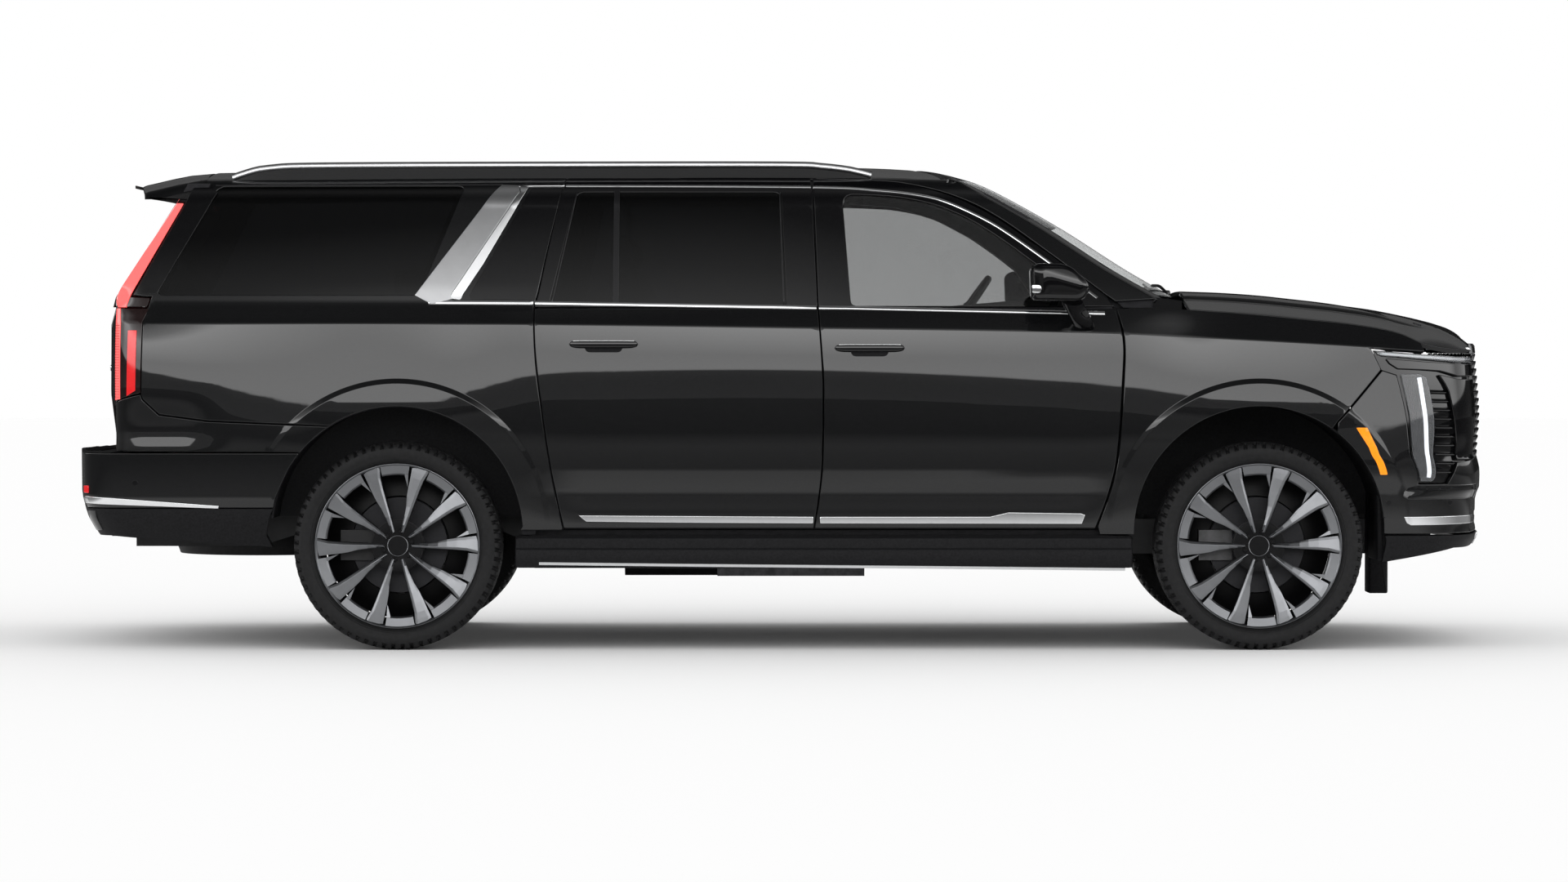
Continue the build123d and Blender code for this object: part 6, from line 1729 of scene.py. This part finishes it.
def card(x_low, x_high, shift):
    """A door's inside: a soft top, an armrest, a pull, a pocket and a speaker ring, on the door's inner face."""
    inner = -0.89
    middle = (x_low + x_high) / 2
    geo = slab(rounded([(x_low, 0.56), (x_high, 0.56), (x_high + shift, 1.345), (x_low, 1.345)], 0.04),
               inner - 0.017, inner, 0.006)
    geo.join(block((x_low + 0.02, inner - 0.006, 1.29), (x_high - 0.02, inner + 0.024, 1.352), 0.012, 1))
    geo.join(block((middle - 0.26, inner - 0.01, 0.985), (middle + 0.23, inner + 0.06, 1.035), 0.014, 1))
    geo.join(block((middle + 0.02, inner - 0.01, 1.12), (middle + 0.33, inner + 0.01, 1.136), 0.004, 2))
    geo.join(block((middle - 0.28, inner - 0.01, 0.64), (middle + 0.24, inner + 0.036, 0.72), 0.012, 0))
    ring = [(0.07, 0.006), (0.082, 0.01), (0.086, 0.006), (0.084, -0.004), (0.07, -0.004)]
    geo.join(lathe(ring, (middle + 0.33, inner, 0.76), 48, "y", 2))
    for radius in (0.015, 0.03, 0.045, 0.06):
        geo.join(lathe([(radius - 0.003, 0.003), (radius + 0.003, 0.003), (radius + 0.003, -0.004)],
                       (middle + 0.33, inner, 0.76), 40, "y", 0))
    return geo


for end, low, high, shift in (("front", 0.29, 1.24, -0.01), ("rear", -0.8, 0.03, 0.0)):
    lining = card(low, high, shift)
    if end == "front":
        lining.join(slab([(0.48, 1.34), (1.06, 1.34), (1.085, 1.378), (1.0, 1.386)], -0.886, -0.868, 0.004, 1))
    pair(f"door_card_{end}", lining, f"door_{end}_{{}}", [TRIM, LEATHER, BRUSHED])


# Hidden CAD pieces keep their shapes and take these finishes --------------------------------------

CARPET = shade("carpet", (0.013, 0.013, 0.014), 0.95, specular=0.08, vary=0.45, vary_scale=420, bump=0.6,
               bump_scale=1100)
FINISHES = {"frame_rails": CHASSIS, "floor_pan": CARPET, "engine_block": CAST, "fuel_tank": DARK, "exhaust": STEEL,
            "front_suspension": CHASSIS, "rear_suspension": CHASSIS, "spare_wheel": RUBBER, "wheel_liners": DARK,
            "knuckle_right": CAST, "knuckle_left": CAST}
for node, finish in FINISHES.items():
    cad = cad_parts[node]
    for slot in cad.material_slots:
        slot.material = finish


# Wipers and their pivots --------------------------------------------------------------------------

cowl = Geo()
for pivot, tip in (((1.59, 0.64, 1.415), (1.515, 0.02, 1.456)),
                   ((1.6, -0.09, 1.418), (1.5, -0.66, 1.442))):
    arm = spline([pivot, tuple((a + b) / 2 + 0.012 * k for a, b, k in zip(pivot, tip, (0, 0, 1))), tip], 0.02)
    cowl.join(sweep(arm, circle(0.0065, 10)))
    cowl.join(lathe([(0.0, 0.012), (0.012, 0.011), (0.016, 0.004), (0.016, -0.014)], pivot, 24, "z", 0, closed=False))
emit("wipers", cowl, "root", [SATIN])


# The inside of each rear pillar hides the lamp's back from the cabin
pillar_cover = slab([(-2.64, 1.35), (-2.47, 1.35), (-2.27, 1.85), (-2.36, 1.85)], -0.722, -0.716, 0.002)
pair("pillar_cover", pillar_cover, "root", [TRIM])

# The cowl's end closes the corner between the fender, the hood and the windshield
corner = slab([(1.385, 1.33), (1.6, 1.33), (1.6, 1.38), (1.5, 1.392), (1.385, 1.4)], -0.9, -0.872, 0.004)
pair("cowl_corner", corner, "root", [GLOSS])


# Floor, light and camera --------------------------------------------------------------------------

def ramp_node(nodes, stops):
    """A colour ramp from places and grey levels."""
    ramp = nodes.new("ShaderNodeValToRGB")
    line = ramp.color_ramp
    while len(line.elements) < len(stops):
        line.elements.new(0.5)
    for element, (place, level) in zip(line.elements, stops):
        element.position = place
        element.color = (level, level, level, 1)
    return ramp


def mirrored_rays(nodes, links):
    """One for rays that have bounced off a shiny surface, nought for all others and for those through glass."""
    path = nodes.new("ShaderNodeLightPath")
    through = math_node(nodes, links, "SUBTRACT", 1.0, path.outputs["Is Transmission Ray"])
    return math_node(nodes, links, "MULTIPLY", path.outputs["Is Glossy Ray"], through)


def math_node(nodes, links, kind, first, second=None):
    """A maths node with its inputs linked or set."""
    node = nodes.new("ShaderNodeMath")
    node.operation = kind
    for slot, value in zip(node.inputs, (first, second)):
        if hasattr(value, "links"):
            links.new(value, slot)
        elif value is not None:
            slot.default_value = value
    return node.outputs[0]


def apart(nodes, links, level, mirrored):
    """A colour for reflections, and a plain grey level for all other rays."""
    mix = nodes.new("ShaderNodeMix")
    mix.data_type = "RGBA"
    mix.inputs["A"].default_value = (level, level, level, 1)
    links.new(mirrored_rays(nodes, links), mix.inputs["Factor"])
    links.new(mirrored, mix.inputs["B"])
    return mix.outputs["Result"]


def smooth_step(nodes, links, value, start, stop, first, last):
    """A smooth change from one level to another while a value goes from start to stop."""
    node = nodes.new("ShaderNodeMapRange")
    node.interpolation_type = "SMOOTHSTEP"
    for name, number in zip(("From Min", "From Max", "To Min", "To Max"), (start, stop, first, last)):
        node.inputs[name].default_value = number
    links.new(value, node.inputs["Value"])
    return node.outputs["Result"]


def place_axes(nodes, links, kind):
    """The X, Y and Z outputs of a texture coordinate."""
    place = nodes.new("ShaderNodeTexCoord")
    split = nodes.new("ShaderNodeSeparateXYZ")
    links.new(place.outputs[kind], split.inputs[0])
    return split.outputs


def floor():
    """A white floor. In reflections it darkens away from the car, as a studio floor does beyond its lights."""
    mesh = bpy.data.meshes.new("floor")
    mesh.from_pydata([(-60, -60, 0), (60, -60, 0), (60, 60, 0), (-60, 60, 0)], [], [[0, 1, 2, 3]])
    piece = bpy.data.objects.new("floor", mesh)
    bpy.context.scene.collection.objects.link(piece)
    made = bpy.data.materials.new("floor")
    made.use_nodes = True
    nodes, links = made.node_tree.nodes, made.node_tree.links
    nodes.clear()
    output = nodes.new("ShaderNodeOutputMaterial")
    matte = nodes.new("ShaderNodeBsdfDiffuse")
    axes = place_axes(nodes, links, "Object")
    squares = []
    for axis, half in (("X", 2.4), ("Y", 1.0)):
        past = math_node(nodes, links, "SUBTRACT", math_node(nodes, links, "ABSOLUTE", axes[axis]), half)
        squares.append(math_node(nodes, links, "POWER", math_node(nodes, links, "MAXIMUM", past, 0.0), 2.0))
    away = math_node(nodes, links, "SQRT", math_node(nodes, links, "ADD", *squares))
    ramp = ramp_node(nodes, [(0.0, 0.95), (0.14, 0.95), (0.2, 0.42), (0.32, 0.2), (0.55, 0.3), (0.8, 0.05)])
    links.new(math_node(nodes, links, "DIVIDE", away, 12.0), ramp.inputs["Fac"])
    links.new(apart(nodes, links, 0.985, ramp.outputs["Color"]), matte.inputs["Color"])
    links.new(matte.outputs["BSDF"], output.inputs["Surface"])
    mesh.materials.append(made)


def studio():
    """White behind the car. Reflections see a dark studio with a long soft box low on one side."""
    world = bpy.data.worlds.new("studio")
    bpy.context.scene.world = world
    world.use_nodes = True
    nodes, links = world.node_tree.nodes, world.node_tree.links
    nodes.clear()
    output = nodes.new("ShaderNodeOutputWorld")
    back = nodes.new("ShaderNodeBackground")
    axes = place_axes(nodes, links, "Generated")
    height = math_node(nodes, links, "MULTIPLY", math_node(nodes, links, "ADD", axes["Z"], 1.0), 0.5)
    levels = [(-1.0, 0.1), (-0.03, 0.06), (0.05, 0.03), (0.094, 0.03), (0.102, 0.66), (0.17, 0.6), (0.3, 0.95),
              (0.345, 0.5), (0.42, 0.22), (0.51, 0.19), (0.6, 0.1), (0.7, 0.022), (0.9, 0.008), (0.97, 0.02),
              (1.0, 0.045)]
    ramp = ramp_node(nodes, [((h + 1) / 2, level) for h, level in levels])
    links.new(height, ramp.inputs["Fac"])
    near = smooth_step(nodes, links, axes["Y"], -0.15, 0.4, 5.0, 0.14)
    far = smooth_step(nodes, links, math_node(nodes, links, "ABSOLUTE", axes["X"]), 0.45, 0.8, 0.0, 2.2)
    dark = nodes.new("ShaderNodeVectorMath")
    dark.operation = "SCALE"
    links.new(ramp.outputs["Color"], dark.inputs[0])
    links.new(math_node(nodes, links, "MAXIMUM", near, far), dark.inputs["Scale"])
    links.new(apart(nodes, links, 1, dark.outputs["Vector"]), back.inputs["Color"])
    links.new(back.outputs["Background"], output.inputs["Surface"])


def camera():
    """A long lens, level with the belt and turned down a little, looking at the car's right-hand side."""
    data = bpy.data.cameras.new("camera")
    data.sensor_width, data.lens = 36, 36 * 6175 / 1920
    data.clip_end = 200
    eye = bpy.data.objects.new("camera", data)
    bpy.context.scene.collection.objects.link(eye)
    eye.location = (0.022, -20.9, 1.212)
    eye.rotation_euler = (radians(90 - 1.113), 0, 0)
    bpy.context.scene.camera = eye


floor()
studio()
camera()
bpy.context.scene.view_settings.view_transform = "Standard"
